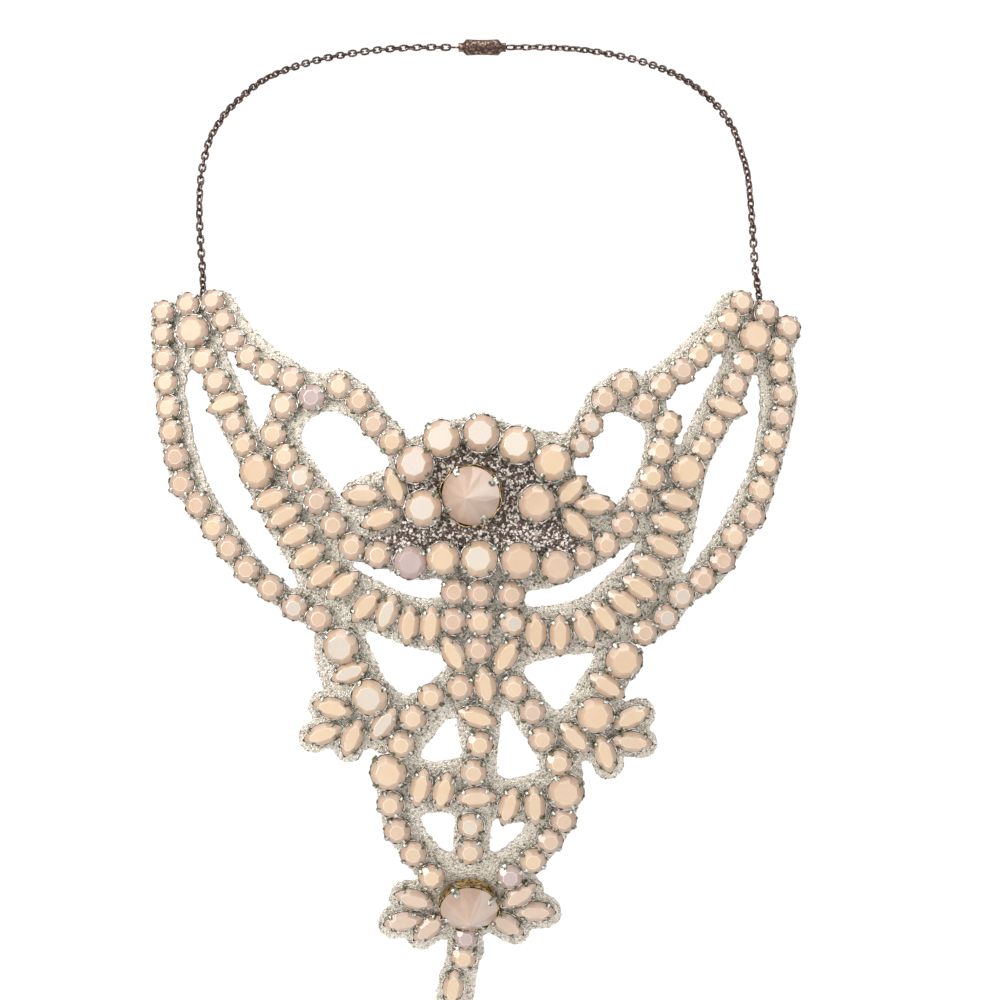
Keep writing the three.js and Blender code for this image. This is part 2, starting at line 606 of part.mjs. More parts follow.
// Outline of a band of cloth along a curve, with narrower ends past it.
function bandAlong(curve, leftReach, rightReach, endReach) {
  const steps = Math.max(2, Math.round(curve.getLength() / BAND_STEP));
  const inner = Array.from({ length: steps + 1 }, (_, i) => [i / steps, 0, 1]);
  const stations = [[0, -endReach, BAND_END], ...inner, [1, endReach, BAND_END]];
  const left = [];
  const right = [];
  for (const [share, reach, width] of stations) {
    const point = curve.getPointAt(share);
    const tangent = curve.getTangentAt(share);
    const centre = new THREE.Vector2(point.x + tangent.x * reach, point.y + tangent.y * reach);
    const side = new THREE.Vector2(-tangent.y, tangent.x);
    left.push(centre.clone().addScaledVector(side, leftReach * width));
    right.push(centre.clone().addScaledVector(side, -rightReach * width));
  }
  return [...left, ...right.reverse()];
}

// The band under a row of stones, with its hems.
function rowBand(row) {
  const [first] = row.stones;
  const half = halfAcross(row.stones.includes('SS') ? 'S' : first);
  return bandAlong(rowCurve(row), half + row.hemLeft, half + row.hemRight, halfAlong(first));
}

function stripBand(strip) {
  return bandAlong(rowCurve(strip), strip.width / 2, strip.width / 2, strip.width / 3);
}

// Outline of the cloth under a single stone: its own shape, larger by the hem.
function padOutline(place, hem) {
  const cut = CUTS[place.cut];
  const outline = [];
  for (let i = 0; i < PAD_SIDES; i += 1) {
    const angle = i * 2 * Math.PI / PAD_SIDES;
    const pinch = place.cut === 'N' ? 1 - POINT_PINCH * Math.cos(angle) ** 2 : 1;
    const along = (cut.long + hem) * Math.cos(angle);
    const across = (cut.wide + hem) * Math.sin(angle) * pinch;
    outline.push(new THREE.Vector2(
      place.x + along * Math.cos(place.turn) - across * Math.sin(place.turn),
      place.z + along * Math.sin(place.turn) + across * Math.cos(place.turn),
    ));
  }
  return outline;
}

function smoothRing(points) {
  const corners = points.map(frontPoint).map((point) => new THREE.Vector3(point.x, point.y, 0));
  const curve = new THREE.CatmullRomCurve3(corners, true, 'centripetal');
  const count = Math.max(points.length, Math.round(curve.getLength() / GAP_STEP));
  const ring = curve.getSpacedPoints(count).slice(0, -1);
  return ring.map((point) => new THREE.Vector2(point.x, point.y));
}

// The whole front seen as one sheet, closed along the rows at its edge.
function groundOutline() {
  return GROUND_RING.flatMap(([name, from, to]) => {
    const curve = rowCurve(ROWS[name]);
    const steps = Math.max(2, Math.round(curve.getLength() / BAND_STEP));
    return Array.from({ length: steps + 1 }, (_, i) => {
      const point = curve.getPointAt(from + (to - from) * i / steps);
      return new THREE.Vector2(point.x, point.y);
    });
  });
}

function singlePlace(name) {
  const single = SINGLES[name];
  const point = frontPoint([single.across, single.down]);
  return { cut: single.cut, x: point.x, z: point.y, turn: THREE.MathUtils.degToRad(single.turn) };
}

function backingSolid() {
  const hemOf = (name) => SINGLE_HEMS[name.split('_')[0]];
  const pads = Object.keys(SINGLES).map((name) => padOutline(singlePlace(name), hemOf(name)));
  const rowPads = Object.values(ROWS).flatMap(rowPlaces).filter((place) => place.cut !== 'S');
  const sheet = joined([
    frontColumn(groundOutline()),
    ...Object.values(ROWS).map((row) => frontColumn(rowBand(row))),
    ...Object.values(STRIPS).map((strip) => frontColumn(stripBand(strip))),
    ...pads.map(frontColumn),
    ...rowPads.map((place) => frontColumn(padOutline(place, SEAM_GAP))),
  ]);
  const gaps = joined(Object.values(GAPS).map((ring) => frontColumn(smoothRing(ring))));
  return biggestPiece(clothLayer(-CLOTH_THICKNESS, 0).intersect(sheet.subtract(gaps)));
}

function eyeGroundSolid() {
  const beside = [
    ...BESIDE_GROUND.rows.flatMap((name) => rowPlaces(ROWS[name])),
    ...BESIDE_GROUND.singles.map(singlePlace),
  ];
  const room = joined(beside.map((place) => frontColumn(padOutline(place, GROUND_CLEARANCE))));
  const sheet = frontColumn(smoothRing(EYE_GROUND)).subtract(room);
  return biggestPiece(clothLayer(SEAM_GAP, SEAM_GAP + GROUND_THICKNESS).intersect(sheet));
}

// Chain and clasp

// The route starts at the middle of the cloth's edge and ends level and straight at the clasp.
function chainGeometry(name) {
  const end = frontPoint(CHAIN_ENDS[name]);
  const side = Math.sign(end.x);
  const claspEnd = CLASP_LENGTH / 2 + SEAM_GAP;
  const foot = liftedPoint(end.x, end.y, -CLOTH_THICKNESS / 2);
  const points = CHAIN_ROUTE[name].map((shares) => new THREE.Vector3(...shares).multiply(foot));
  points.push(new THREE.Vector3(side * (claspEnd + CHAIN_WIDTH), CLASP_WIDTH / 2, 0));
  points.push(new THREE.Vector3(side * claspEnd, CLASP_WIDTH / 2, 0));
  const path = new THREE.CatmullRomCurve3(points, false, 'centripetal');
  const section = new THREE.Shape();
  for (let i = 0; i < CHAIN_SIDES; i += 1) {
    const angle = (i + 0.5) * 2 * Math.PI / CHAIN_SIDES;
    const x = CHAIN_WIDTH / 2 * Math.cos(angle);
    const y = CHAIN_WIDTH / 2 * Math.sin(angle);
    if (i === 0) section.moveTo(x, y);
    else section.lineTo(x, y);
  }
  section.closePath();
  const steps = Math.round(path.getLength() / CHAIN_STEP);
  const tube = new THREE.ExtrudeGeometry(section, { extrudePath: path, steps, bevelEnabled: false });
  return toGeometry(toSolid(tube));
}

// A plain barrel with a narrow neck at each end for the chain.
function claspGeometry() {
  const half = CLASP_LENGTH / 2;
  const shoulder = half - CLASP_NECK;
  const profile = [
    new THREE.Vector2(0, -half),
    new THREE.Vector2(CHAIN_WIDTH / 2, -half),
    new THREE.Vector2(CHAIN_WIDTH / 2, -shoulder),
    new THREE.Vector2(CLASP_WIDTH / 2, -shoulder + CLASP_NECK / 2),
    new THREE.Vector2(CLASP_WIDTH / 2, shoulder - CLASP_NECK / 2),
    new THREE.Vector2(CHAIN_WIDTH / 2, shoulder),
    new THREE.Vector2(CHAIN_WIDTH / 2, half),
    new THREE.Vector2(0, half),
  ];
  const barrel = new THREE.LatheGeometry(profile, CLASP_SIDES);
  barrel.rotateZ(-Math.PI / 2);
  barrel.translate(0, CLASP_WIDTH / 2, 0);
  return toGeometry(toSolid(barrel));
}

// Finishes

const clothFinish = { color: 0xcfc4b4, roughness: 0.7, metalness: 0.3 };
const groundFinish = { color: 0x6b5450, roughness: 0.5, metalness: 0.4 };
const stoneFinish = { color: 0xe4c3a8, roughness: 0.2, metalness: 0 };
const chainFinish = { color: 0x4d3a36, roughness: 0.4, metalness: 0.9 };

const necklace = new THREE.Group();

function addPiece(name, geometry, finish) {
  const mesh = new THREE.Mesh(geometry, new THREE.MeshStandardMaterial(finish));
  mesh.name = name;
  necklace.add(mesh);
}

addPiece('backing', toGeometry(backingSolid()), clothFinish);
addPiece('eye_ground', toGeometry(eyeGroundSolid()), groundFinish);
for (const [name, rowNames] of Object.entries(BODIES)) {
  addPiece(name, sewnBody(rowNames), stoneFinish);
}
for (const [name, rowName] of Object.entries(LOOSE_ROWS)) {
  rowPlaces(ROWS[rowName]).forEach((place, i) => {
    addPiece(`${name}_${i + 1}`, sewnGeometry([place], [], ON_GROUND), stoneFinish);
  });
}
for (const name of Object.keys(SINGLES)) {
  const lift = RAISED.includes(name) ? ON_GROUND : ON_CLOTH;
  const place = singlePlace(name);
  const geometry = place.cut === 'R' ? rivoliGeometry(place, lift) : sewnGeometry([place], [], lift);
  addPiece(name, geometry, stoneFinish);
}
addPiece('chain_left', chainGeometry('left'), chainFinish);
addPiece('chain_right', chainGeometry('right'), chainFinish);
addPiece('clasp', claspGeometry(), chainFinish);

export default necklace;
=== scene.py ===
"""Looks of a bib necklace: claw-set stones sewn on an openwork cloth that hangs on a fine chain.

Sizes are written in millimetres, as the necklace's maker would give them. Finished meshes stand in
the row frame, in metres.
"""

import logging
import math
import random
from collections.abc import Callable, Iterable, Iterator, Sequence
from contextlib import contextmanager
from dataclasses import dataclass, field, replace
from enum import Enum

import bmesh
import bpy
import numpy as np
from mathutils import Matrix, Quaternion, Vector, noise


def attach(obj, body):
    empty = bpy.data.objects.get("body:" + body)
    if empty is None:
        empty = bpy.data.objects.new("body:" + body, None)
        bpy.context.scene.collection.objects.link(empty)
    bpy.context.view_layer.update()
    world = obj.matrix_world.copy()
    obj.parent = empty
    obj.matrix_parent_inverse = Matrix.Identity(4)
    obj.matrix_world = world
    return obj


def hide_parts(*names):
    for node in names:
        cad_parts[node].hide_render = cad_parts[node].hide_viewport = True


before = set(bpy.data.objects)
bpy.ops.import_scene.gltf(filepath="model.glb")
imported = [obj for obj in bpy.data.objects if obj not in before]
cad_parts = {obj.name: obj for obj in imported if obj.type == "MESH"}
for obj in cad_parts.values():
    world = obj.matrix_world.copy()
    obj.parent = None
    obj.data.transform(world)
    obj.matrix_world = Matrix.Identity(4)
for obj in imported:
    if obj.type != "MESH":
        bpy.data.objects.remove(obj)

log = logging.getLogger("bib_necklace")

MM = 0.001
SEED = 11
CLOTH_SLOT = "cloth"
GROUND_SLOT = "eye_cloth"
STONE_SLOT = "set_stones"
CHAIN_SLOT = "chain_metal"

# How nearly a face looks along an axis to count as facing it, and to count as level.
STRAIGHT = 0.9
FLAT = 0.99

# In the cloth's map: a distance beyond all others, and a length too small to matter.
FAR = 99.0
TINY = 1e-9

Colour = tuple[float, float, float]
Direction = tuple[float, float, float]
Spot = tuple[float, ...]
Ring = Sequence[tuple[float, float]]


class Cut(Enum):
    """The cuts of stone, by the letter that the lists of stones use."""

    SMALL = "S"
    LARGE = "L"
    NAVETTE = "N"
    RIVOLI = "R"


class Bed(Enum):
    """What a stone is sewn on, with the height of its seat above the cloth in millimetres."""

    CLOTH = 0.3
    EYE_GROUND = 1.6


# Places of the stones as the front view shows them: across from the middle, up from the foremost
# point of the chest, and, for a navette, its turn in degrees from level.
ROWS: dict[str, tuple[str, tuple[Spot, ...]]] = {
    "outer_column_left": ("SSSSSSSSSSSSSSS", (
        (-76.3, 45.1), (-76.4, 39.8), (-76.1, 33.7), (-75.5, 28.1), (-75.0, 22.1), (-74.4, 16.3),
        (-73.0, 10.3), (-71.7, 3.9), (-67.7, -1.1), (-63.9, -6.6), (-60.3, -11.6), (-56.0, -16.6),
        (-50.4, -21.1), (-44.5, -25.6), (-38.7, -28.5))),
    "outer_column_right": ("SSSSSSSSSSSSSSS", (
        (74.0, 41.2), (71.8, 36.1), (72.2, 30.8), (73.1, 25.2), (72.2, 19.6), (70.7, 13.9),
        (69.2, 8.4), (67.4, 2.4), (65.4, -3.8), (61.0, -8.9), (58.2, -14.5), (53.6, -19.2),
        (48.2, -22.9), (44.5, -28.2), (39.5, -31.8))),
    "neckline_row_left": ("SSSSSSSSSSS", (
        (-64.4, 47.6), (-61.8, 43.1), (-59.4, 38.5), (-55.9, 34.3), (-51.1, 30.7), (-45.4, 28.9),
        (-40.4, 24.7), (-33.9, 27.2), (-29.2, 23.8), (-25.5, 18.2), (-21.1, 13.9))),
    "neckline_row_right": ("SSSSSSSSSSS", (
        (62.9, 47.4), (59.9, 43.2), (56.9, 38.3), (52.9, 34.8), (48.6, 31.0), (43.9, 27.5),
        (39.7, 22.4), (34.8, 27.7), (29.9, 24.0), (26.5, 18.3), (24.1, 13.3))),
    "second_column_left": ("SLSSNSSL", (
        (-70.3, 46.9), (-69.2, 40.5), (-66.6, 33.5), (-63.4, 28.4), (-61.1, 23.1, 21),
        (-59.2, 18.3), (-56.8, 13.2), (-53.7, 6.8))),
    "second_column_right": ("SLSSNSSL", (
        (68.8, 45.0), (66.2, 39.2), (63.7, 32.9), (61.2, 27.5), (59.3, 22.4, -17),
        (56.3, 17.5), (53.6, 12.5), (49.9, 6.8))),
    "inner_row_left": ("SSSSSSSS", (
        (-47.3, 22.6), (-49.7, 15.8), (-46.8, 10.3), (-43.1, 5.2), (-39.1, -0.3), (-35.3, -6.1),
        (-30.9, -11.4), (-24.4, -13.2))),
    "inner_row_right": ("SSSSSSS", (
        (45.3, 18.2), (43.5, 11.7), (41.4, 5.3), (38.3, 0.0), (34.8, -5.9), (30.4, -10.8),
        (25.1, -13.8))),
    "fan_row_left": ("NNNNNNNNNN", (
        (-50.3, 0.1, 24), (-47.1, -3.9, 30), (-44.1, -8.5, 26), (-41.5, -13.5, 33),
        (-37.7, -17.9, 39), (-32.9, -20.7, 40), (-27.6, -25.4, 51), (-22.1, -27.0, 67),
        (-17.1, -30.0, 83), (-11.9, -30.1, 84))),
    "fan_row_right": ("NNNNNNNNNN", (
        (47.7, -0.1, -17), (45.6, -5.7, -18), (44.2, -11.1, -26), (40.7, -16.1, -30),
        (38.5, -21.1, -33), (34.7, -24.8, -37), (30.0, -28.2, -53), (25.2, -30.8, -66),
        (19.2, -32.4, 90), (13.3, -31.9, 90))),
    "branch_row_left": ("LNL", ((-33.3, -35.1), (-31.1, -41.3, 22), (-26.3, -47.4))),
    "branch_row_right": ("LNL", ((34.5, -38.6), (30.5, -44.6, -33), (27.7, -51.8))),
    "arc_row_left": ("SSSSLSSSSNN", (
        (-4.8, -45.1), (-11.8, -47.3), (-16.1, -52.4), (-18.9, -58.8), (-22.0, -65.5),
        (-21.6, -73.1), (-20.0, -79.5), (-16.1, -85.0), (-11.7, -90.5), (-14.3, -69.1, 76),
        (-8.9, -69.9, 76))),
    "arc_row_right": ("SSSSLSSSSNN", (
        (8.2, -45.2), (12.6, -50.8), (14.8, -57.4), (18.9, -63.1), (20.6, -70.2), (20.0, -76.9),
        (16.7, -81.8), (12.6, -86.6), (7.1, -90.5), (6.9, -73.5, 71), (13.1, -73.5, -88))),
    "centre_block": ("SSSSSSS", (
        (-6.2, -22.1), (0.1, -22.5), (7.5, -22.7), (-6.5, -29.1), (0.1, -29.3), (7.5, -29.5),
        (-0.4, -36.1))),
    "stem_row": ("NSSNSS", (
        (-0.6, -52.2, -16), (-0.2, -58.8), (-1.6, -65.5), (-0.8, -71.5, 3), (-2.1, -78.3),
        (-2.4, -84.5))),
    "tail_row": ("SS", ((-3.5, -105.2), (-4.1, -110.0))),
}

# Stones that are pieces of their own, numbered in this order.
LOOSE: dict[str, tuple[str, tuple[Spot, ...]]] = {
    "eye_chaton_upper": ("LLLLL", ((-15.5, 8.5), (-9.0, 14.7), (0.6, 16.0), (9.2, 13.2), (17.6, 9.0))),
    "eye_chaton_lower": ("LLLLL", (
        (-16.7, -15.1), (-8.9, -14.1), (0.1, -14.4), (9.4, -14.7), (18.6, -16.1))),
    "eye_petal_left": ("NNN", ((-20.3, 3.1, -68), (-28.2, 1.1, -2), (-23.9, -4.5, 19))),
    "eye_petal_right": ("NNN", ((21.7, 2.1, 44), (27.5, -1.2, -3), (23.3, -5.9, -47))),
    "flower_petal_left": ("NNNN", (
        (-35.3, -50.1, -14), (-37.7, -56.2, 17), (-30.7, -57.1, 67), (-23.0, -53.8, 53))),
    "flower_petal_right": ("NNNN", (
        (36.2, -52.2, 25), (36.5, -58.0, -5), (30.0, -61.0, -73), (22.7, -57.0, -46))),
    "tail_petal_left": ("NNN", ((-15.9, -96.0, -14), (-18.5, -101.2, 7), (-12.3, -102.8, 34))),
    "tail_petal_right": ("NNN", ((9.4, -95.0, 30), (13.2, -99.0, 0), (6.2, -101.8, -29))),
}
SINGLE: dict[str, tuple[str, Spot]] = {
    "eye_chaton_left": ("L", (-13.4, -2.2)),
    "eye_chaton_right": ("L", (13.7, -0.8)),
    "centre_petal_left": ("N", (-6.3, -37.0, -61)),
    "centre_petal_right": ("N", (6.4, -37.7, 59)),
    "centre_petal_low": ("N", (1.3, -44.7, -80)),
    "tail_petal_end": ("N", (-6.6, -117.1, 81)),
    "rivoli_eye": ("R", (-1.6, 1.4)),
    "rivoli_tail": ("R", (-2.8, -97.6)),
}
ON_EYE_GROUND = ("eye_chaton", "rivoli_eye")
PINKISH = ("tail_petal_left", "tail_petal_right")

# How the pointed stones lean: the axis of the turn, and the turn in degrees.
RIVOLI_LEANS: dict[str, tuple[Direction, float]] = {
    "rivoli_eye": ((0.53, 0.0, -0.85), 13.0),
    "rivoli_tail": ((0.98, 0.0, 0.2), 9.0),
}

# Stones that lie turned to the light, whose tables also get a painted reflection, and stones of the
# mauve batch: piece and number in it.
BRIGHT = {
    ("eye_chaton_upper_1", 0), ("eye_chaton_upper_2", 0), ("eye_chaton_upper_3", 0),
    ("eye_chaton_upper_4", 0), ("eye_chaton_left", 0), ("eye_chaton_lower_3", 0),
    ("inner_row_left", 3), ("outer_column_left", 13), ("centre_block", 5), ("fan_row_left", 7),
    ("branch_row_left", 0), ("branch_row_left", 1), ("branch_row_left", 2),
    ("flower_petal_left_4", 0), ("outer_column_right", 12), ("outer_column_right", 13),
    ("stem_row", 4), ("neckline_row_right", 9), ("neckline_row_right", 10),
}
MAUVE = {("neckline_row_left", 6), ("eye_chaton_lower_1", 0), ("arc_row_right", 8), ("tail_row", 0)}

# Hems of the cloth beside each row, in millimetres: left and right of the stones, going down it.
HEMS: dict[str, tuple[float, float]] = {
    "outer_column_left": (2.2, 0.1), "outer_column_right": (0.5, 2.2),
    "second_column_left": (2.0, 0.8), "second_column_right": (0.8, 2.0),
    "neckline_row_left": (1.6, 0.5), "neckline_row_right": (0.5, 1.6),
    "inner_row_left": (2.0, 1.0), "inner_row_right": (1.0, 2.0),
    "fan_row_left": (1.5, 1.0), "fan_row_right": (1.0, 1.5),
    "branch_row_left": (1.4, 1.0), "branch_row_right": (0.3, 1.4),
    "arc_row_left": (1.8, 0.3), "arc_row_right": (0.3, 1.8),
    "centre_block": (1.6, 1.6), "stem_row": (1.6, 1.6), "tail_row": (2.0, 1.4),
    "eye_chaton_upper": (0.6, 0.6), "eye_chaton_lower": (1.0, 1.4),
}
SINGLE_HEMS = {"eye": 1.0, "centre": 1.0, "flower": 1.45, "tail": 1.5, "rivoli": 1.0}

# The cloth's outer edge runs through these rows: name, first stone, last stone.
EDGE_ROWS = (
    ("outer_column_left", 0, 14), ("branch_row_left", 0, 2), ("arc_row_left", 3, 8),
    ("arc_row_right", 8, 3), ("branch_row_right", 2, 0), ("outer_column_right", 14, 0),
    ("neckline_row_right", 0, 10), ("eye_chaton_upper", 4, 0), ("neckline_row_left", 10, 0),
)

# Strips of cloth beside or between the stones: width and middle line.
STRIPS: dict[str, tuple[float, tuple[Spot, ...]]] = {
    "neck_edge_left": (3.4, ((-61.0, 48.5), (-55.9, 40.4), (-48.0, 33.8), (-40.3, 29.3), (-32.4, 28.6))),
    "neck_edge_right": (4.4, ((59.5, 48.0), (54.2, 40.4), (46.1, 32.8), (38.4, 27.4), (33.1, 27.8))),
    "eye_corner_left": (3.4, ((-20.4, 11.7), (-14.9, 14.1))),
    "eye_corner_right": (4.8, ((10.8, 15.3), (21.8, 13.6))),
    "branch_edge_left": (4.4, ((-38.1, -33.6), (-37.7, -38.9), (-35.3, -46.4))),
    "flower_heart_left": (8.0, ((-33.5, -49.8), (-26.9, -54.3))),
    "flower_heart_right": (8.0, ((32.1, -54.7), (27.8, -57.1))),
    "flower_foot_left": (4.0, ((-30.7, -59.5), (-25.9, -57.6), (-22.2, -60.2))),
    "arc_edge_right": (4.0, ((21.6, -58.8), (23.2, -66.1))),
    "tail_heart": (6.0, ((-13.2, -92.7), (8.4, -92.2))),
    "tail_strip": (8.8, ((-3.6, -102.0), (-4.3, -109.3), (-5.5, -116.4), (-6.0, -120.5))),
}

# Gaps pierced through the cloth.
GAPS: dict[str, Ring] = {
    "slit_left": (
        (-68.2, 31.7), (-63.8, 19.6), (-58.6, 9.1), (-55.9, 1.8), (-51.3, -7.1), (-46.6, -14.9),
        (-44.1, -20.4), (-47.0, -19.8), (-53.3, -13.4), (-59.5, -4.7), (-65.3, 4.3), (-68.9, 16.4),
        (-70.6, 27.6)),
    "slit_right": (
        (66.5, 30.7), (66.5, 16.9), (62.9, 4.8), (55.7, -8.4), (48.2, -18.5), (51.3, -9.6),
        (53.5, 1.2), (55.7, 9.1), (60.0, 16.9), (63.8, 24.7)),
    "shoulder_left": (
        (-60.7, 36.1), (-55.2, 29.8), (-48.5, 25.5), (-51.3, 21.2), (-53.3, 17.7), (-56.6, 25.9)),
    "shoulder_right": (
        (58.1, 34.5), (52.8, 30.7), (45.1, 24.0), (47.5, 17.2), (47.3, 13.2), (51.3, 21.2)),
    "wing_left": (
        (-38.8, 20.3), (-32.4, 20.0), (-26.4, 14.5), (-22.1, 8.6), (-28.3, 6.0), (-33.4, 2.9),
        (-31.2, -1.6), (-35.0, 2.9), (-38.4, 7.7), (-42.7, 15.3)),
    "wing_right": (
        (30.7, 20.7), (35.5, 19.6), (39.2, 16.4), (37.9, 8.2), (32.4, -0.7), (26.9, 3.9),
        (22.8, 8.2), (26.9, 14.5)),
    "crescent_left": (
        (-30.7, -15.1), (-22.8, -16.8), (-16.3, -19.4), (-9.6, -19.4), (-9.6, -22.9),
        (-16.8, -22.5), (-25.2, -18.7)),
    "crescent_right": (
        (11.3, -22.5), (19.2, -20.8), (28.8, -16.1), (37.4, -10.3), (31.7, -16.8), (24.0, -23.2),
        (16.8, -24.9), (11.3, -24.9)),
    "branch_gap_left": (
        (-26.9, -31.9), (-18.0, -35.3), (-8.7, -37.9), (-10.1, -41.4), (-17.3, -46.5),
        (-22.1, -43.3), (-25.0, -37.4)),
    "branch_gap_right": ((11.3, -40.1), (26.4, -37.2), (23.0, -43.9), (19.0, -50.2), (14.9, -46.0)),
    "stem_gap_left": ((-6.7, -52.6), (-5.5, -56.4), (-5.5, -61.7), (-13.6, -61.9), (-11.5, -57.6)),
    "stem_gap_right": (
        (6.2, -50.9), (9.1, -55.5), (11.8, -58.8), (13.4, -64.9), (5.1, -66.2), (4.8, -57.6)),
    "stem_gap_low_left": (
        (-13.6, -75.9), (-6.9, -75.9), (-6.9, -80.6), (-7.6, -84.6), (-12.2, -80.2)),
    "stem_gap_low_right": (
        (3.4, -76.8), (5.8, -78.0), (10.5, -78.0), (6.2, -83.0), (2.7, -84.2)),
}

# Outline of the dark ground in the eye.
EYE_RING: Ring = (
    (-17.8, 0.3), (-14.8, 7.2), (-8.6, 12.0), (0.5, 13.4), (8.2, 11.0), (16.8, 5.1), (18.4, -1.4),
    (19.9, -7.5), (24.3, -10.4), (18.7, -12.8), (9.2, -12.2), (0.2, -11.8), (-9.0, -11.6),
    (-19.1, -12.5), (-26.9, -9.2), (-19.5, -7.5))

# Route of the chain on each side from the cloth to the clasp: across, forward and down.
CHAIN_ROUTES: dict[str, tuple[tuple[float, float, float], ...]] = {
    "left": (
        (-68.0, 93.0, 70.2), (-68.3, 90.0, 67.2), (-69.1, 85.0, 60.4), (-70.0, 79.0, 51.5),
        (-70.2, 73.0, 42.8), (-69.8, 69.0, 37.7), (-68.7, 64.0, 31.6), (-66.7, 59.0, 26.7),
        (-63.7, 52.0, 21.5), (-56.0, 38.0, 13.0), (-44.0, 22.5, 6.5), (-30.0, 10.0, 2.4),
        (-18.0, 1.6, 0.5)),
    "right": (
        (68.1, 93.3, 71.2), (67.7, 88.5, 66.0), (67.5, 84.0, 58.6), (67.4, 79.0, 51.5),
        (66.9, 71.5, 40.9), (65.5, 66.0, 34.1), (63.8, 60.5, 28.0), (59.4, 50.0, 20.2),
        (52.0, 36.0, 12.5), (42.0, 22.0, 6.6), (29.0, 10.0, 2.4), (18.0, 1.6, 0.5)),
}


@dataclass(frozen=True)
class Chest:
    """The curve that the cloth lies on, as it is seen from the front. Millimetres."""

    radius_across: float = 190.0
    radius_down: float = 195.0
    crest_forward: float = 112.0
    crest_below_nape: float = 122.4
    view_distance: float = 900.0
    reach: float = 0.5

    def point(self, x: np.ndarray | float, z: np.ndarray | float) -> np.ndarray:
        """Finds the place on the chest of points of the front view.

        Args:
            x: Distances to the right of the middle.
            z: Heights above the foremost point.

        Returns:
            The places, with their three coordinates along the last axis.
        """
        across = self.radius_across - np.sqrt(self.radius_across**2 - np.square(x))
        down = self.radius_down - np.sqrt(self.radius_down**2 - np.square(z))
        depth = across + down
        widening = 1 + depth / self.view_distance
        height = np.multiply(z, widening) - self.crest_below_nape
        return np.stack([np.multiply(x, widening), depth - self.crest_forward, height], axis=-1)

    def normal(self, x: np.ndarray | float, z: np.ndarray | float) -> np.ndarray:
        """Finds the chest's outward direction at points of the front view.

        Args:
            x: Distances to the right of the middle.
            z: Heights above the foremost point.

        Returns:
            Unit vectors, with their three coordinates along the last axis.
        """
        across = self.point(np.add(x, self.reach), z) - self.point(np.subtract(x, self.reach), z)
        up = self.point(x, np.add(z, self.reach)) - self.point(x, np.subtract(z, self.reach))
        outward = np.cross(across, up)
        return outward / np.linalg.norm(outward, axis=-1, keepdims=True)

    def lifted(
        self, x: np.ndarray | float, z: np.ndarray | float, lift: np.ndarray | float
    ) -> np.ndarray:
        """Finds places at a height above the chest.

        Args:
            x: Distances to the right of the middle.
            z: Heights above the foremost point.
            lift: Heights along the outward direction.

        Returns:
            The places, with their three coordinates along the last axis.
        """
        return self.point(x, z) + self.normal(x, z) * np.expand_dims(np.asarray(lift, float), -1)

    def basis(self, x: float, z: float, turn: float) -> Matrix:
        """Makes the turn of something that lies on the chest.

        Args:
            x: Distance to the right of the middle.
            z: Height above the foremost point.
            turn: Direction of its length in the front view, in degrees from level.

        Returns:
            A rotation whose X runs along the length and whose Z points outwards.
        """
        angle = math.radians(turn)
        step_x, step_z = self.reach * math.cos(angle), self.reach * math.sin(angle)
        outward = Vector(self.normal(x, z))
        along = Vector(self.point(x + step_x, z + step_z) - self.point(x - step_x, z - step_z))
        along = (along - outward * along.dot(outward)).normalized()
        side = outward.cross(along)
        return Matrix((along, side, outward)).transposed()


CHEST = Chest()


@dataclass(frozen=True)
class CutSizes:
    """Sizes of one cut of stone and of its setting. Millimetres; heights count from the seat.

    The seat's level is the height of the widest part, which the front view places.
    """

    half_long: float
    half_wide: float
    girdle: float
    top: float
    table_long: float
    table_wide: float
    level: float
    sides: int
    wall: float = 0.2
    clearance: float = 0.05
    claw_width: float = 1.0
    claw_reach: float = 1.2


SIZES: dict[Cut, CutSizes] = {
    Cut.SMALL: CutSizes(3.1, 3.1, 1.75, 3.1, 1.58, 1.58, 1.7, 24),
    Cut.LARGE: CutSizes(4.25, 4.25, 2.05, 3.85, 2.6, 2.6, 2.0, 32, 0.26, 0.06, 1.35, 1.6),
    Cut.NAVETTE: CutSizes(4.95, 2.6, 1.75, 3.05, 3.2, 1.3, 1.7, 48, claw_width=0.95),
    Cut.RIVOLI: CutSizes(7.05, 7.05, 3.0, 8.9, 0.06, 0.06, 3.0, 48, 0.2, 0.1, 1.7, 2.5),
}


@dataclass(frozen=True)
class Place:
    """Where one stone is sewn on, and how it looks there."""

    cut: Cut
    x: float
    z: float
    turn: float
    bed: Bed
    tone: float
    mauve: float
    tilt: Quaternion
    glint: float
    fit: float = 1.0

    def seat(self) -> Matrix:
        """Makes the placement of a master in millimetres on its seat in the row frame.

        Returns:
            The matrix, with the change from millimetres to metres in it.
        """
        level = self.bed.value + SIZES[self.cut].level
        lean = CHEST.normal(self.x, self.z)
        x, z = self.x - lean[0] * level, self.z - lean[2] * level
        turned = self.tilt.to_matrix() @ CHEST.basis(x, z, self.turn)
        origin = Vector(CHEST.lifted(x, z, self.bed.value))
        return Matrix.Translation(origin * MM) @ turned.to_4x4() @ Matrix.Scale(MM * self.fit, 4)


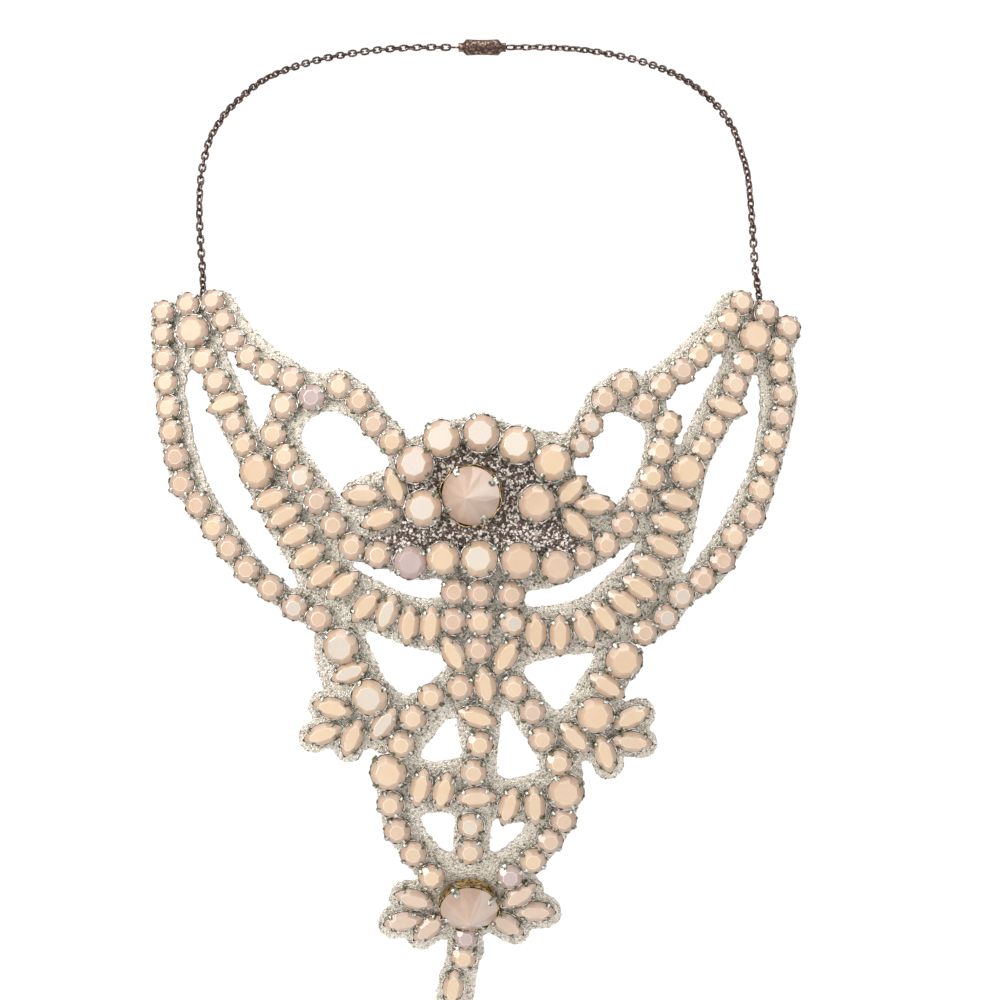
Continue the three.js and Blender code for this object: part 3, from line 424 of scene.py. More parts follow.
class Bench:
    """The workbench: how meshes are started, selected, worked on and joined."""

    @staticmethod
    def clear() -> None:
        """Deselects every object."""
        bpy.ops.object.select_all(action="DESELECT")
        bpy.context.view_layer.objects.active = None

    @staticmethod
    def take(name: str) -> bpy.types.Object:
        """Names the primitive just added and moves its place and size into its mesh."""
        piece = bpy.context.active_object
        piece.name = piece.data.name = name
        bpy.ops.object.transform_apply(location=True, rotation=True, scale=True)
        return piece

    @staticmethod
    def put(name: str, data: bpy.types.ID) -> bpy.types.Object:
        """Puts a mesh, a lamp or a camera in the scene as an object."""
        made = bpy.data.objects.new(name, data)
        bpy.context.scene.collection.objects.link(made)
        return made

    @staticmethod
    def hold(piece: bpy.types.Object) -> None:
        """Makes a piece the only selected one, and the active one."""
        Bench.clear()
        piece.select_set(True)
        bpy.context.view_layer.objects.active = piece

    @staticmethod
    @contextmanager
    def editing(piece: bpy.types.Object, kind: str = "FACE") -> Iterator[None]:
        """Opens a piece in edit mode with nothing selected, and closes it at the end.

        Args:
            piece: The piece to work on.
            kind: What is selected in edit mode: VERT, EDGE or FACE.

        Yields:
            Nothing, while the piece is open.
        """
        Bench.hold(piece)
        bpy.ops.object.mode_set(mode="EDIT")
        bpy.ops.mesh.select_mode(type=kind)
        bpy.ops.mesh.select_all(action="DESELECT")
        yield
        bpy.ops.object.mode_set(mode="OBJECT")

    @staticmethod
    def pick(piece: bpy.types.Object, kind: str, test: Callable[..., bool]) -> None:
        """Selects parts of the open piece, and nothing else of it.

        Args:
            piece: The piece, in edit mode.
            kind: verts, edges or faces.
            test: Says of each of them whether it is selected.
        """
        shape = bmesh.from_edit_mesh(piece.data)
        for part in (*shape.verts, *shape.edges, *shape.faces):
            part.select_set(False)
        for part in [part for part in getattr(shape, kind) if test(part)]:
            part.select_set(True)
        shape.select_flush_mode()
        bmesh.update_edit_mesh(piece.data)

    @staticmethod
    def join(name: str, pieces: Sequence[bpy.types.Object]) -> bpy.types.Object:
        """Joins pieces into the first of them, and names it.

        Args:
            name: The joined piece's name.
            pieces: What is joined.

        Returns:
            The joined piece.
        """
        Bench.hold(pieces[0])
        for piece in pieces:
            piece.select_set(True)
        if len(pieces) > 1:
            bpy.ops.object.join()
        pieces[0].name = pieces[0].data.name = name
        return pieces[0]

    @staticmethod
    def copy(master: bpy.types.Object, name: str, place: Matrix) -> bpy.types.Object:
        """Copies a master, with a mesh of its own, to a place.

        Args:
            master: The piece to copy.
            name: The copy's name.
            place: Where it goes, put into its mesh.

        Returns:
            The copy.
        """
        mesh = master.data.copy()
        mesh.transform(place)
        return Bench.put(name, mesh)

    @staticmethod
    def scatter(
        master: bpy.types.Object, name: str, places: Sequence[Matrix], sizes: Iterable[float] = ()
    ) -> bpy.types.Object:
        """Makes one piece of many copies of a small master.

        Args:
            master: The piece to copy, of a few dozen faces.
            name: The new piece's name.
            places: Where the copies go.
            sizes: A number from 0 to 1 for each copy, kept as the attribute "lot".

        Returns:
            The new piece.
        """
        corners = np.array([corner.co for corner in master.data.vertices])
        corners = np.hstack([corners, np.ones((len(corners), 1))])
        faces = [tuple(face.vertices) for face in master.data.polygons]
        stack = np.array([[list(row) for row in place] for place in places])
        placed = np.einsum("nij,vj->nvi", stack, corners)[..., :3].reshape(-1, 3)
        count = len(corners)
        mesh = bpy.data.meshes.new(name)
        mesh.from_pydata(
            placed.tolist(), [],
            [tuple(v + i * count for v in face) for i in range(len(places)) for face in faces])
        lots = list(sizes)
        if lots:
            lot = mesh.attributes.new("lot", "FLOAT", "FACE")
            lot.data.foreach_set("value", np.repeat(lots, len(faces)).astype(np.float32))
        return Bench.put(name, mesh)

    @staticmethod
    def apply(piece: bpy.types.Object, kind: str, **settings: object) -> None:
        """Puts a modifier on a piece and applies it.

        Args:
            piece: The piece.
            kind: The modifier's type.
            settings: The modifier's own settings.
        """
        Bench.hold(piece)
        bpy.ops.object.modifier_add(type=kind)
        modifier = piece.modifiers[-1]
        for key, value in settings.items():
            setattr(modifier, key, value)
        bpy.ops.object.modifier_apply(modifier=modifier.name)

    @staticmethod
    def smooth(piece: bpy.types.Object, angle: float | None = None) -> None:
        """Shades a piece smooth, but for edges sharper than an angle in degrees if one is given."""
        Bench.hold(piece)
        if angle is None:
            bpy.ops.object.shade_smooth()
        else:
            bpy.ops.object.shade_smooth_by_angle(angle=math.radians(angle))

    @staticmethod
    def drop(*pieces: bpy.types.Object) -> None:
        """Removes pieces that were only needed on the way."""
        for piece in pieces:
            bpy.data.objects.remove(piece)


def looks(axis: int, way: int) -> Callable[[bmesh.types.BMFace], bool]:
    """Makes a test for the faces that look one way along an axis, numbered 0 to 2."""
    return lambda face: face.normal[axis] * way > STRAIGHT


def dress(piece: bpy.types.Object, slot: str, *nodes: str) -> bpy.types.Object:
    """Makes a finished piece part of the necklace.

    Args:
        piece: The piece, with its place in its mesh.
        slot: The record's material slot; not used.
        nodes: The CAD nodes that it stands for.

    Returns:
        The same piece.
    """
    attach(piece, "root")
    if nodes:
        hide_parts(*nodes)
    faces = sum(len(face.vertices) - 2 for face in piece.data.polygons)
    log.info("%s: %d triangles", piece.name, faces)
    return piece


# Finishes


class NodeBoard:
    """Lays out the nodes of a material or of a node group."""

    def __init__(self, tree: bpy.types.NodeTree) -> None:
        """Starts on an empty tree."""
        self.tree = tree
        tree.nodes.clear()

    def add(self, kind: str, inputs: dict | None = None, **settings: object) -> bpy.types.Node:
        """Adds a node.

        Args:
            kind: The node's type name.
            inputs: What goes into its sockets: another node's socket, or a value.
            settings: The node's own settings.

        Returns:
            The node.
        """
        node = self.tree.nodes.new(kind)
        for key, value in settings.items():
            setattr(node, key, value)
        for key, value in (inputs or {}).items():
            if isinstance(value, bpy.types.NodeSocket):
                self.tree.links.new(value, node.inputs[key])
            else:
                node.inputs[key].default_value = value
        return node

    def place(self, group: str, inputs: dict) -> bpy.types.Node:
        """Places a shared effect, with this material's own values."""
        return self.add("ShaderNodeGroup", inputs, node_tree=bpy.data.node_groups[group])

    def mark(self, name: str) -> bpy.types.NodeSocket:
        """Reads a mark that the mesh carries as an attribute."""
        return self.add("ShaderNodeAttribute", attribute_name=name).outputs["Fac"]

    def clouds(
        self, where: bpy.types.NodeSocket, scale: object, detail: float = 2.0
    ) -> bpy.types.NodeSocket:
        """Adds soft clouds of a scale per metre."""
        node = self.add("ShaderNodeTexNoise", {"Vector": where, "Scale": scale, "Detail": detail})
        return node.outputs["Fac"]

    def math(self, operation: str, first: object, second: object = 0.0) -> bpy.types.NodeSocket:
        """Adds a sum, product, comparison or other operation on two numbers, kept from 0 to 1."""
        node = self.add("ShaderNodeMath", {0: first, 1: second}, operation=operation, use_clamp=True)
        return node.outputs[0]

    def blend(self, share: object, first: object, second: object) -> bpy.types.NodeSocket:
        """Mixes two colours.

        Args:
            share: The second colour's share.
            first: The first colour, or its socket.
            second: The second colour, or its socket.

        Returns:
            The mixed colour's socket.
        """
        node = self.add(
            "ShaderNodeMix", {0: share, 6: first, 7: second}, data_type="RGBA", blend_type="MIX")
        return node.outputs[2]

    def spread(
        self, value: bpy.types.NodeSocket, low: float, high: float, start: float = 0.0,
        end: float = 1.0
    ) -> bpy.types.NodeSocket:
        """Stretches the range from low to high to the range from start to end."""
        node = self.add("ShaderNodeMapRange", {
            "Value": value, "From Min": low, "From Max": high, "To Min": start, "To Max": end})
        return node.outputs["Result"]


def paint(colour: Colour) -> tuple[float, float, float, float]:
    """Gives a colour its opacity."""
    return (*colour, 1.0)


class SharedEffect:
    """A node group with named inputs and outputs that several finishes use."""

    def __init__(self, name: str, inputs: dict[str, tuple[str, object]], outputs: dict[str, str]):
        """Makes the group's sockets and its two end nodes.

        Args:
            name: The group's name.
            inputs: For each input, its kind of socket and its value at the start.
            outputs: For each output, its kind of socket.
        """
        self.group = bpy.data.node_groups.new(name, "ShaderNodeTree")
        for key, (kind, value) in inputs.items():
            socket = self.group.interface.new_socket(key, in_out="INPUT", socket_type=kind)
            if value is not None:
                socket.default_value = value
        for key, kind in outputs.items():
            self.group.interface.new_socket(key, in_out="OUTPUT", socket_type=kind)
        self.board = NodeBoard(self.group)
        self.source = self.board.add("NodeGroupInput")
        self.result = self.board.add("NodeGroupOutput")

    def give(self, name: str, socket: bpy.types.NodeSocket) -> None:
        """Puts a socket out under an output's name."""
        self.group.links.new(socket, self.result.inputs[name])


def sparkle_effect() -> bpy.types.NodeTree:
    """Makes the grain of glittering thread: cells of dark and pale colour, and cells painted in the
    flash colour as painted glints.

    Returns:
        The node group.
    """
    effect = SharedEffect(
        "thread_sparkle",
        {
            "Vector": ("NodeSocketVector", None),
            "Grains per metre": ("NodeSocketFloat", 3000.0),
            "Dark": ("NodeSocketColor", paint((0.2, 0.18, 0.15))),
            "Pale": ("NodeSocketColor", paint((0.8, 0.75, 0.68))),
            "Flash": ("NodeSocketColor", paint((1.0, 1.0, 1.0))),
            "Flash share": ("NodeSocketFloat", 0.15),
        },
        {"Color": "NodeSocketColor", "Height": "NodeSocketFloat", "Flash": "NodeSocketFloat"},
    )
    board, source = effect.board, effect.source.outputs
    cells = board.add(
        "ShaderNodeTexVoronoi", {"Vector": source["Vector"], "Scale": source["Grains per metre"]})
    lots = board.add("ShaderNodeSeparateColor", {"Color": cells.outputs["Color"]})
    patches = board.clouds(source["Vector"], 420.0)
    share = board.math("MULTIPLY", lots.outputs["Red"], 2.2)
    share = board.math("MULTIPLY", share, board.spread(patches, 0.1, 0.42))
    body = board.blend(share, source["Dark"], source["Pale"])
    # painted glints: a share of the cells is painted in the flash colour
    flash = board.math("LESS_THAN", lots.outputs["Green"], source["Flash share"])
    effect.give("Color", board.blend(flash, body, source["Flash"]))
    effect.give("Height", board.math("SUBTRACT", 1.0, cells.outputs["Distance"]))
    effect.give("Flash", flash)
    return effect.group


def patina_effect() -> bpy.types.NodeTree:
    """Makes the dark film that old metal has in places.

    Returns:
        The node group.
    """
    effect = SharedEffect(
        "metal_patina",
        {
            "Vector": ("NodeSocketVector", None),
            "Patches per metre": ("NodeSocketFloat", 900.0),
            "Clean": ("NodeSocketColor", paint((0.7, 0.7, 0.66))),
            "Film": ("NodeSocketColor", paint((0.08, 0.07, 0.05))),
            "Cover": ("NodeSocketFloat", 0.5),
        },
        {"Color": "NodeSocketColor", "Roughness": "NodeSocketFloat", "Height": "NodeSocketFloat"},
    )
    board, source = effect.board, effect.source.outputs
    clouds = board.clouds(source["Vector"], source["Patches per metre"], 5.0)
    level = board.math("ADD", clouds, board.math("SUBTRACT", source["Cover"], 0.5))
    film = board.spread(level, 0.42, 0.62)
    effect.give("Color", board.blend(film, source["Clean"], source["Film"]))
    effect.give("Roughness", board.math("ADD", board.math("MULTIPLY", film, 0.3), 0.22))
    effect.give("Height", clouds)
    return effect.group


@dataclass(frozen=True)
class Finish:
    """A surface finish. Its material is made once, when it is first asked for."""

    name: str

    def material(self) -> bpy.types.Material:
        """Finds the finish's material, or makes it."""
        found = bpy.data.materials.get(self.name)
        if found:
            return found
        made = bpy.data.materials.new(self.name)
        made.use_nodes = True
        board = NodeBoard(made.node_tree)
        shader = board.add("ShaderNodeBsdfPrincipled")
        board.add("ShaderNodeOutputMaterial", {"Surface": shader.outputs["BSDF"]})
        where = board.add("ShaderNodeTexCoord").outputs["Object"]
        self.lay(board, shader, where)
        return made

    def lay(self, board: NodeBoard, shader: bpy.types.Node, where: bpy.types.NodeSocket) -> None:
        """Lays out what is special to this finish."""
        raise NotImplementedError

    def feed(self, board: NodeBoard, shader: bpy.types.Node, **sockets: object) -> None:
        """Feeds the shader's sockets; a socket's name has _ for its spaces."""
        for key, value in sockets.items():
            target = shader.inputs[key.replace("_", " ")]
            if isinstance(value, bpy.types.NodeSocket):
                board.tree.links.new(value, target)
            else:
                target.default_value = value

    def bump(
        self, board: NodeBoard, height: bpy.types.NodeSocket, depth: float
    ) -> bpy.types.NodeSocket:
        """Turns a height into a normal, for relief of a depth in metres."""
        node = board.add("ShaderNodeBump", {"Height": height, "Strength": 1.0, "Distance": depth})
        return node.outputs["Normal"]


@dataclass(frozen=True)
class StoneFinish(Finish):
    """Opaque blush glass, with a milky cloud in it, a gloss on its facets, and painted shade, painted
    highlights and painted reflections in its colour.
    """

    peach: Colour = (0.71, 0.52, 0.335)
    rose: Colour = (0.62, 0.425, 0.295)
    mauve: Colour = (0.50, 0.375, 0.355)
    # crown: colour of the painted shade on the crown facets, deepest towards the girdle
    crown: Colour = (0.33, 0.19, 0.13)
    # edge: pale colour of the milky cloud, and of the painted highlights on thin edge facets and a
    # pointed stone's fan
    edge: Colour = (0.98, 0.87, 0.76)
    # the off-white colour of the painted reflection on the tables of stones marked glint
    painted_reflection: Colour = (0.61, 0.565, 0.50)
    crown_shade_share: float = 0.74
    edge_highlight_share: float = 0.5
    painted_reflection_share: float = 0.9
    milk_share: float = 0.12
    slope_shade_share: float = 0.3
    clouds: float = 260.0
    haze: float = 2400.0
    gloss: tuple[float, float] = (0.10, 0.22)
    relief: float = 0.000012

    def lay(self, board: NodeBoard, shader: bpy.types.Node, where: bpy.types.NodeSocket) -> None:
        """Lays out the stone's colour by its batch, with painted shade on the crown, painted highlights
        and painted reflections, and its gloss.
        """
        crown, haze = board.mark("crown"), board.clouds(where, self.haze, 4.0)
        milk = board.spread(board.clouds(where, self.clouds, 3.0), 0.25, 0.8)
        body = board.blend(board.mark("tone"), paint(self.peach), paint(self.rose))
        body = board.blend(board.mark("mauve"), body, paint(self.mauve))
        # Painted shade: the crown facets are painted darker, by a step and more towards the girdle.
        side = board.blend(self.crown_shade_share, body, paint(self.crown))
        slope_shade = board.math("MULTIPLY", board.math("GREATER_THAN", crown, 0.03), self.slope_shade_share)
        depth = board.math("MULTIPLY", crown, 1 - self.slope_shade_share)
        body = board.blend(board.math("ADD", slope_shade, depth), body, side)
        body = board.blend(board.math("MULTIPLY", milk, self.milk_share), body, paint(self.edge))
        # Painted reflection: the tables of glint stones are painted off-white, with a grain.
        table = board.math("MULTIPLY", board.mark("glint"), board.math("LESS_THAN", crown, 0.002))
        grain = board.math("MULTIPLY", board.spread(haze, 0.1, 0.62), self.painted_reflection_share)
        body = board.blend(board.math("MULTIPLY", table, grain), body, paint(self.painted_reflection))
        # Painted highlight on the thin facets round the table, and painted reflection in a pointed
        # stone's fan.
        pale = board.math("MULTIPLY", board.mark("edge"), self.edge_highlight_share)
        body = board.blend(pale, body, paint(self.edge))
        self.feed(
            board, shader, Base_Color=body, Roughness=board.spread(haze, 0.3, 0.7, *self.gloss),
            IOR=1.56, Coat_Weight=0.5, Coat_Roughness=0.04, Coat_IOR=1.6,
            Normal=self.bump(board, haze, self.relief))


@dataclass(frozen=True)
class MetalFinish(Finish):
    """Metal with a dark film in places."""

    clean: Colour = (0.82, 0.81, 0.76)
    film: Colour = (0.15, 0.135, 0.075)
    cover: float = 0.56
    patches: float = 1100.0
    relief: float = 0.00006

    def lay(self, board: NodeBoard, shader: bpy.types.Node, where: bpy.types.NodeSocket) -> None:
        """Lays out the metal with its patina and its small dents."""
        film = board.place("metal_patina", {
            "Vector": where, "Patches per metre": self.patches, "Clean": paint(self.clean),
            "Film": paint(self.film), "Cover": self.cover})
        self.feed(
            board, shader, Metallic=1.0, Base_Color=film.outputs["Color"],
            Roughness=film.outputs["Roughness"],
            Normal=self.bump(board, film.outputs["Height"], self.relief))


@dataclass(frozen=True)
class ThreadFinish(Finish):
    """Cloth of metallic thread, with painted glints on some grains, and some stitches painted lit or
    painted in shade.
    """

    dark: Colour = (0.17, 0.125, 0.075)
    pale: Colour = (0.85, 0.75, 0.61)
    # flash: colour of the painted glints on grains and of the stitches painted lit
    flash: Colour = (1.0, 0.965, 0.88)
    flash_share: float = 0.25
    grains: float = 2300.0
    relief: float = 0.0003
    metallic: float = 0.35
    roughness: float = 0.42
    # Painted shade: the share of stitches painted darker towards the dark colour, and how far; painted
    # light: stitches from lit_from up are painted in the flash colour.
    shaded_share: float = 0.26
    shade_strength: float = 0.7
    lit_from: float = 0.7
    fineness: float = 1.9
    fine_share: float = 0.3

    def lay(self, board: NodeBoard, shader: bpy.types.Node, where: bpy.types.NodeSocket) -> None:
        """Lays out the thread's grains, their relief, their painted glints, and the painted light and
        painted shade on whole stitches.
        """
        grain, fine = (
            board.place("thread_sparkle", {
                "Vector": where, "Grains per metre": grains, "Dark": paint(self.dark),
                "Pale": paint(self.pale), "Flash": paint(self.flash),
                "Flash share": self.flash_share})
            for grains in (self.grains, self.grains * self.fineness))
        colour = board.blend(self.fine_share, grain.outputs["Color"], fine.outputs["Color"])
        lot = board.mark("lot")
        # Painted shade on a random share of stitches, then painted light on another share.
        shaded = board.math("LESS_THAN", lot, self.shaded_share)
        shaded = board.math("MULTIPLY", shaded, board.math("GREATER_THAN", lot, 0.001))
        colour = board.blend(
            board.math("MULTIPLY", shaded, self.shade_strength), colour, paint(self.dark))
        colour = board.blend(
            board.math("GREATER_THAN", lot, self.lit_from), colour, paint(self.flash))
        shine = board.math("MULTIPLY", grain.outputs["Flash"], self.metallic)
        rough = board.math("SUBTRACT", self.roughness, board.math("MULTIPLY", shine, 0.5))
        self.feed(
            board, shader, Base_Color=colour, Metallic=shine, Roughness=rough,
            Sheen_Weight=0.15, Sheen_Roughness=0.4,
            Normal=self.bump(board, grain.outputs["Height"], self.relief))


@dataclass(frozen=True)
class PlainFinish(Finish):
    """A matt surface of the studio."""

    colour: Colour = (0.9, 0.9, 0.9)
    other: Colour = (0.92, 0.92, 0.92)

    def lay(self, board: NodeBoard, shader: bpy.types.Node, where: bpy.types.NodeSocket) -> None:
        """Lays out a plain colour with the faintest grain."""
        pale = board.blend(board.clouds(where, 3.0), paint(self.colour), paint(self.other))
        self.feed(board, shader, Base_Color=pale, Roughness=0.9)


STONE = StoneFinish("blush_glass")
SILVER = MetalFinish("aged_silver")
RIM = MetalFinish("rubbed_silver", clean=(0.92, 0.91, 0.87), cover=0.5)
BRASS = MetalFinish(
    "old_brass", clean=(0.72, 0.52, 0.26), film=(0.16, 0.10, 0.04), cover=0.42)
LUREX = ThreadFinish("silver_lurex")
# Painted shade: the thread on the cloth's edge and its loops is painted darker, with fewer glints, for
# the shade along the edge.
SHADED_EDGE_THREAD = ThreadFinish(
    "edge_thread_painted_shade", pale=(0.56, 0.48, 0.37), flash=(0.9, 0.85, 0.76), flash_share=0.12,
    shaded_share=0.42, lit_from=0.88)
# The eye ground's dark plum colours, with painted glints and painted shade on a share of its chips.
GLITTER = ThreadFinish(
    "plum_glitter", dark=(0.028, 0.015, 0.010), pale=(0.25, 0.155, 0.11), flash=(1.0, 0.9, 0.82),
    flash_share=0.16, grains=1900.0, relief=0.0004, metallic=0.3, roughness=0.35,
    shaded_share=0.5, lit_from=0.66)
COPPER = MetalFinish(
    "antique_copper", clean=(0.50, 0.31, 0.21), film=(0.085, 0.06, 0.055), cover=0.6,
    patches=1600.0)
FLOOR = PlainFinish("pale_floor")


# Stones


@dataclass
class StoneMaster:
    """One cut of stone in its claw setting, made once on the origin, in millimetres."""

    cut: Cut
    tip: float = 0.15
    body_depth: float = 0.9
    underside_share: float = 0.82
    girdle_band: float = 0.12
    steep_share: float = 0.6
    navette_facets: tuple[float, ...] = (22.0, 64.0)
    round_facets: int = 8
    rivoli_facets: int = 16
    bevel: float = 0.09
    soft_angle: float = 12.0
    thin_face: float = 0.3
    # A pointed stone's fan of facets with a painted reflection, in degrees of direction, its strength,
    # and the faint painted highlight on every other facet.
    fan: tuple[float, float] = (5.0, 75.0)
    fan_highlight: float = 0.5
    odd_facet_highlight: float = 0.1
    lip_drop: float = 0.05
    lip_bevel: float = 0.3
    foot_share: float = 0.9
    cup_angle: float = 40.0
    scallops: int = 8
    scallop_width: float = 0.3
    scallop_reach: float = 1.05
    scallop_rise: float = 0.25
    claw_thickness: float = 0.55
    claw_foot: float = 0.3
    claw_rise: float = 0.2
    claw_bends: tuple[tuple[float, float, float], ...] = ((0.45, 0.25, 0.92), (1.0, 0.62, 0.78))
    claw_thinning: float = 0.85
    claw_bevel: float = 0.22
    claw_angle: float = 50.0
    claw_turns: tuple[float, ...] = (45.0, 135.0, 225.0, 315.0)
    navette_claw_turns: tuple[float, ...] = (60.0, 120.0)
    sizes: CutSizes = field(init=False)

    def __post_init__(self) -> None:
        """Looks up the cut's sizes."""
        self.sizes = SIZES[self.cut]

    def build(self) -> bpy.types.Object:
        """Makes the stone, its cup and its claws as one piece.

        Returns:
            The master, with the stone in its first material and the setting in its second.
        """
        stone = self.gem()
        self.mark(stone)
        metal = [self.cup(), *self.claws()]
        stone.data.materials.append(STONE.material())
        metal[0].data.materials.append((BRASS if self.cut is Cut.RIVOLI else RIM).material())
        for part in metal[1:]:
            part.data.materials.append(SILVER.material())
        return Bench.join(f"master_{self.cut.value}", [stone, *metal])

    def blank(self, long: float, wide: float, low: float, high: float) -> bpy.types.Object:
        """Makes an upright block with the cut's outline.

        Args:
            long: Half of its length.
            wide: Half of its width.
            low: Height of its underside.
            high: Height of its top.

        Returns:
            The block.
        """
        Bench.clear()
        middle, depth = (low + high) / 2, high - low
        if self.cut is not Cut.NAVETTE:
            bpy.ops.mesh.primitive_cylinder_add(
                vertices=self.sizes.sides, radius=long, depth=depth, location=(0, 0, middle))
            return Bench.take("blank")
        radius = self.side_radius(long, wide)
        bpy.ops.mesh.primitive_cylinder_add(
            vertices=self.sizes.sides, radius=radius, depth=depth,
            location=(0, wide - radius, middle))
        block = Bench.take("blank")
        bpy.ops.mesh.primitive_cylinder_add(
            vertices=self.sizes.sides, radius=radius, depth=depth + 1,
            location=(0, radius - wide, middle))
        other = Bench.take("blank_other")
        Bench.apply(block, "BOOLEAN", operation="INTERSECT", object=other, solver="EXACT")
        Bench.drop(other)
        with Bench.editing(block):
            for way in (1, -1):
                bpy.ops.mesh.select_all(action="SELECT")
                bpy.ops.mesh.bisect(
                    plane_co=(way * long, 0, 0), plane_no=(way, 0, 0), use_fill=True,
                    clear_outer=True)
        return block

    def side_radius(self, long: float, wide: float) -> float:
        """Finds the radius of a navette's sides, which would meet a little beyond its tips."""
        beyond = long + self.tip
        return (beyond**2 + wide**2) / (2 * wide)

    def reach(self, angle: float, long: float, wide: float) -> float:
        """Finds how far the cut's outline reaches in a direction.

        Args:
            angle: The direction, in radians from the length.
            long: Half of the outline's length.
            wide: Half of its width.

        Returns:
            The distance from the middle to the outline's furthest line across that direction.
        """
        if self.cut is not Cut.NAVETTE:
            return long
        radius = self.side_radius(long, wide)
        if radius * abs(math.cos(angle)) <= long:
            return radius - (radius - wide) * abs(math.sin(angle))
        return long * abs(math.cos(angle))

    def facet_angles(self) -> list[float]:
        """Lists the directions of the main facets, in radians."""
        if self.cut is Cut.NAVETTE:
            quarter = self.navette_facets
            degrees = [90.0, 270.0, *quarter, *(180 - a for a in quarter)]
            degrees += [180 + a for a in quarter] + [360 - a for a in quarter]
            return [math.radians(a) for a in degrees]
        count = self.rivoli_facets if self.cut is Cut.RIVOLI else self.round_facets
        return [(i + 0.5) * 2 * math.pi / count for i in range(count)]

    def saw(self, angle: float, inner: tuple[float, float], outer: tuple[float, float]) -> None:
        """Cuts one facet on the open piece.

        Args:
            angle: The facet's direction, in radians.
            inner: Distance and height of a line on it, near the top.
            outer: Distance and height of another, further out and lower.
        """
        ahead, up = inner[1] - outer[1], outer[0] - inner[0]
        bpy.ops.mesh.select_all(action="SELECT")
        bpy.ops.mesh.bisect(
            plane_co=(inner[0] * math.cos(angle), inner[0] * math.sin(angle), inner[1]),
            plane_no=Vector((ahead * math.cos(angle), ahead * math.sin(angle), up)).normalized(),
            use_fill=True, clear_outer=True)

    def gem(self) -> bpy.types.Object:
        """Cuts the stone from its blank: main facets, steeper ones below them, and thin edges."""
        s = self.sizes
        stone = self.blank(s.half_long, s.half_wide, s.girdle - self.body_depth, s.top)
        angles = self.facet_angles()
        with Bench.editing(stone):
            for angle in angles:
                rim = self.reach(angle, s.half_long, s.half_wide)
                self.saw(angle, (self.table_reach(angle), s.top), (rim, s.girdle + self.girdle_band))
            if self.cut is not Cut.NAVETTE:
                half_step = math.pi / len(angles)
                for angle in angles:
                    self.saw(angle + half_step, *self.steep_lines(half_step))
            Bench.pick(stone, "faces", looks(2, -1))
            bpy.ops.transform.resize(value=(self.underside_share, self.underside_share, 1))
            if self.cut is not Cut.RIVOLI:
                Bench.pick(stone, "edges", self.round_table)
                bpy.ops.mesh.bevel(offset=self.bevel, segments=1, affect="EDGES")
        Bench.smooth(stone, self.soft_angle)
        return stone

    def table_reach(self, angle: float) -> float:
        """Finds how far the table reaches in a direction."""
        s = self.sizes
        return math.hypot(s.table_long * math.cos(angle), s.table_wide * math.sin(angle))

    def steep_lines(self, half_step: float) -> tuple[tuple[float, float], tuple[float, float]]:
        """Finds the two lines of a steeper facet, which cuts a ridge between two main facets."""
        s = self.sizes
        slope = (s.top - s.girdle - self.girdle_band) / (s.half_long - s.table_long)
        start = s.table_long + self.steep_share * (s.half_long - s.table_long)
        height = s.top - slope * (start * math.cos(half_step) - s.table_long)
        return (start, height), (s.half_long, s.girdle)

    @staticmethod
    def round_table(edge: bmesh.types.BMEdge) -> bool:
        """Says whether an edge lies between the table and the crown."""
        levels = sorted(face.normal.z for face in edge.link_faces)
        return len(levels) == 2 and levels[1] > FLAT > levels[0] > 0.2

    def mark(self, stone: bpy.types.Object) -> None:
        """Notes how far down the crown each corner lies, and how much painted highlight each face gets,
        as the thin edges do.
        """
        s = self.sizes
        crown = stone.data.attributes.new("crown", "FLOAT", "POINT")
        crown.data.foreach_set("value", [
            min(1.0, (s.top - corner.co.z) / (s.top - s.girdle)) for corner in stone.data.vertices])
        edge = stone.data.attributes.new("edge", "FLOAT", "FACE")
        edge.data.foreach_set("value", [self.painted_highlight(face) for face in stone.data.polygons])

    def painted_highlight(self, face: bpy.types.MeshPolygon) -> float:
        """Says how much painted highlight a facet gets: the thin edges get it, and on a pointed stone
        every other facet gets a little and a fan of facets a painted reflection.
        """
        if self.cut is not Cut.RIVOLI:
            return float(0.4 < face.normal.z < FLAT and face.area < self.thin_face)
        angle = math.degrees(math.atan2(face.normal.y, face.normal.x))
        facet = int(angle // (360 / self.rivoli_facets))
        in_fan = self.fan[0] < angle < self.fan[1]
        return self.odd_facet_highlight * (facet % 2) + self.fan_highlight * in_fan

    def cup(self) -> bpy.types.Object:
        """Makes the cup that the stone sits in, with a thin bright lip."""
        s = self.sizes
        spare = s.clearance + s.wall
        top = s.girdle - self.lip_drop
        cup = self.blank(s.half_long + spare, s.half_wide + spare, 0.0, top)
        with Bench.editing(cup):
            Bench.pick(cup, "faces", looks(2, 1))
            bpy.ops.mesh.inset(thickness=s.wall)
            bpy.ops.mesh.extrude_region_move(
                TRANSFORM_OT_translate={"value": (0, 0, -self.body_depth)})
            Bench.pick(cup, "faces", looks(2, -1))
            foot = 1.0 if self.cut is Cut.RIVOLI else self.foot_share
            bpy.ops.transform.resize(value=(foot, foot, 1))
            lip = top - 0.001
            Bench.pick(cup, "edges", lambda e: all(v.co.z > lip for v in e.verts) and any(
                abs(face.normal.z) < 0.5 for face in e.link_faces))
            bpy.ops.mesh.bevel(offset=s.wall * self.lip_bevel, segments=2, affect="EDGES")
            Bench.pick(cup, "verts", lambda corner: corner.co.z > lip - s.wall and math.cos(
                math.atan2(corner.co.y, corner.co.x) * self.scallops) > self.scallop_width)
            bpy.ops.transform.resize(value=(self.scallop_reach, self.scallop_reach, 1))
            bpy.ops.transform.translate(value=(0, 0, self.scallop_rise))
        Bench.smooth(cup, self.cup_angle)
        return cup

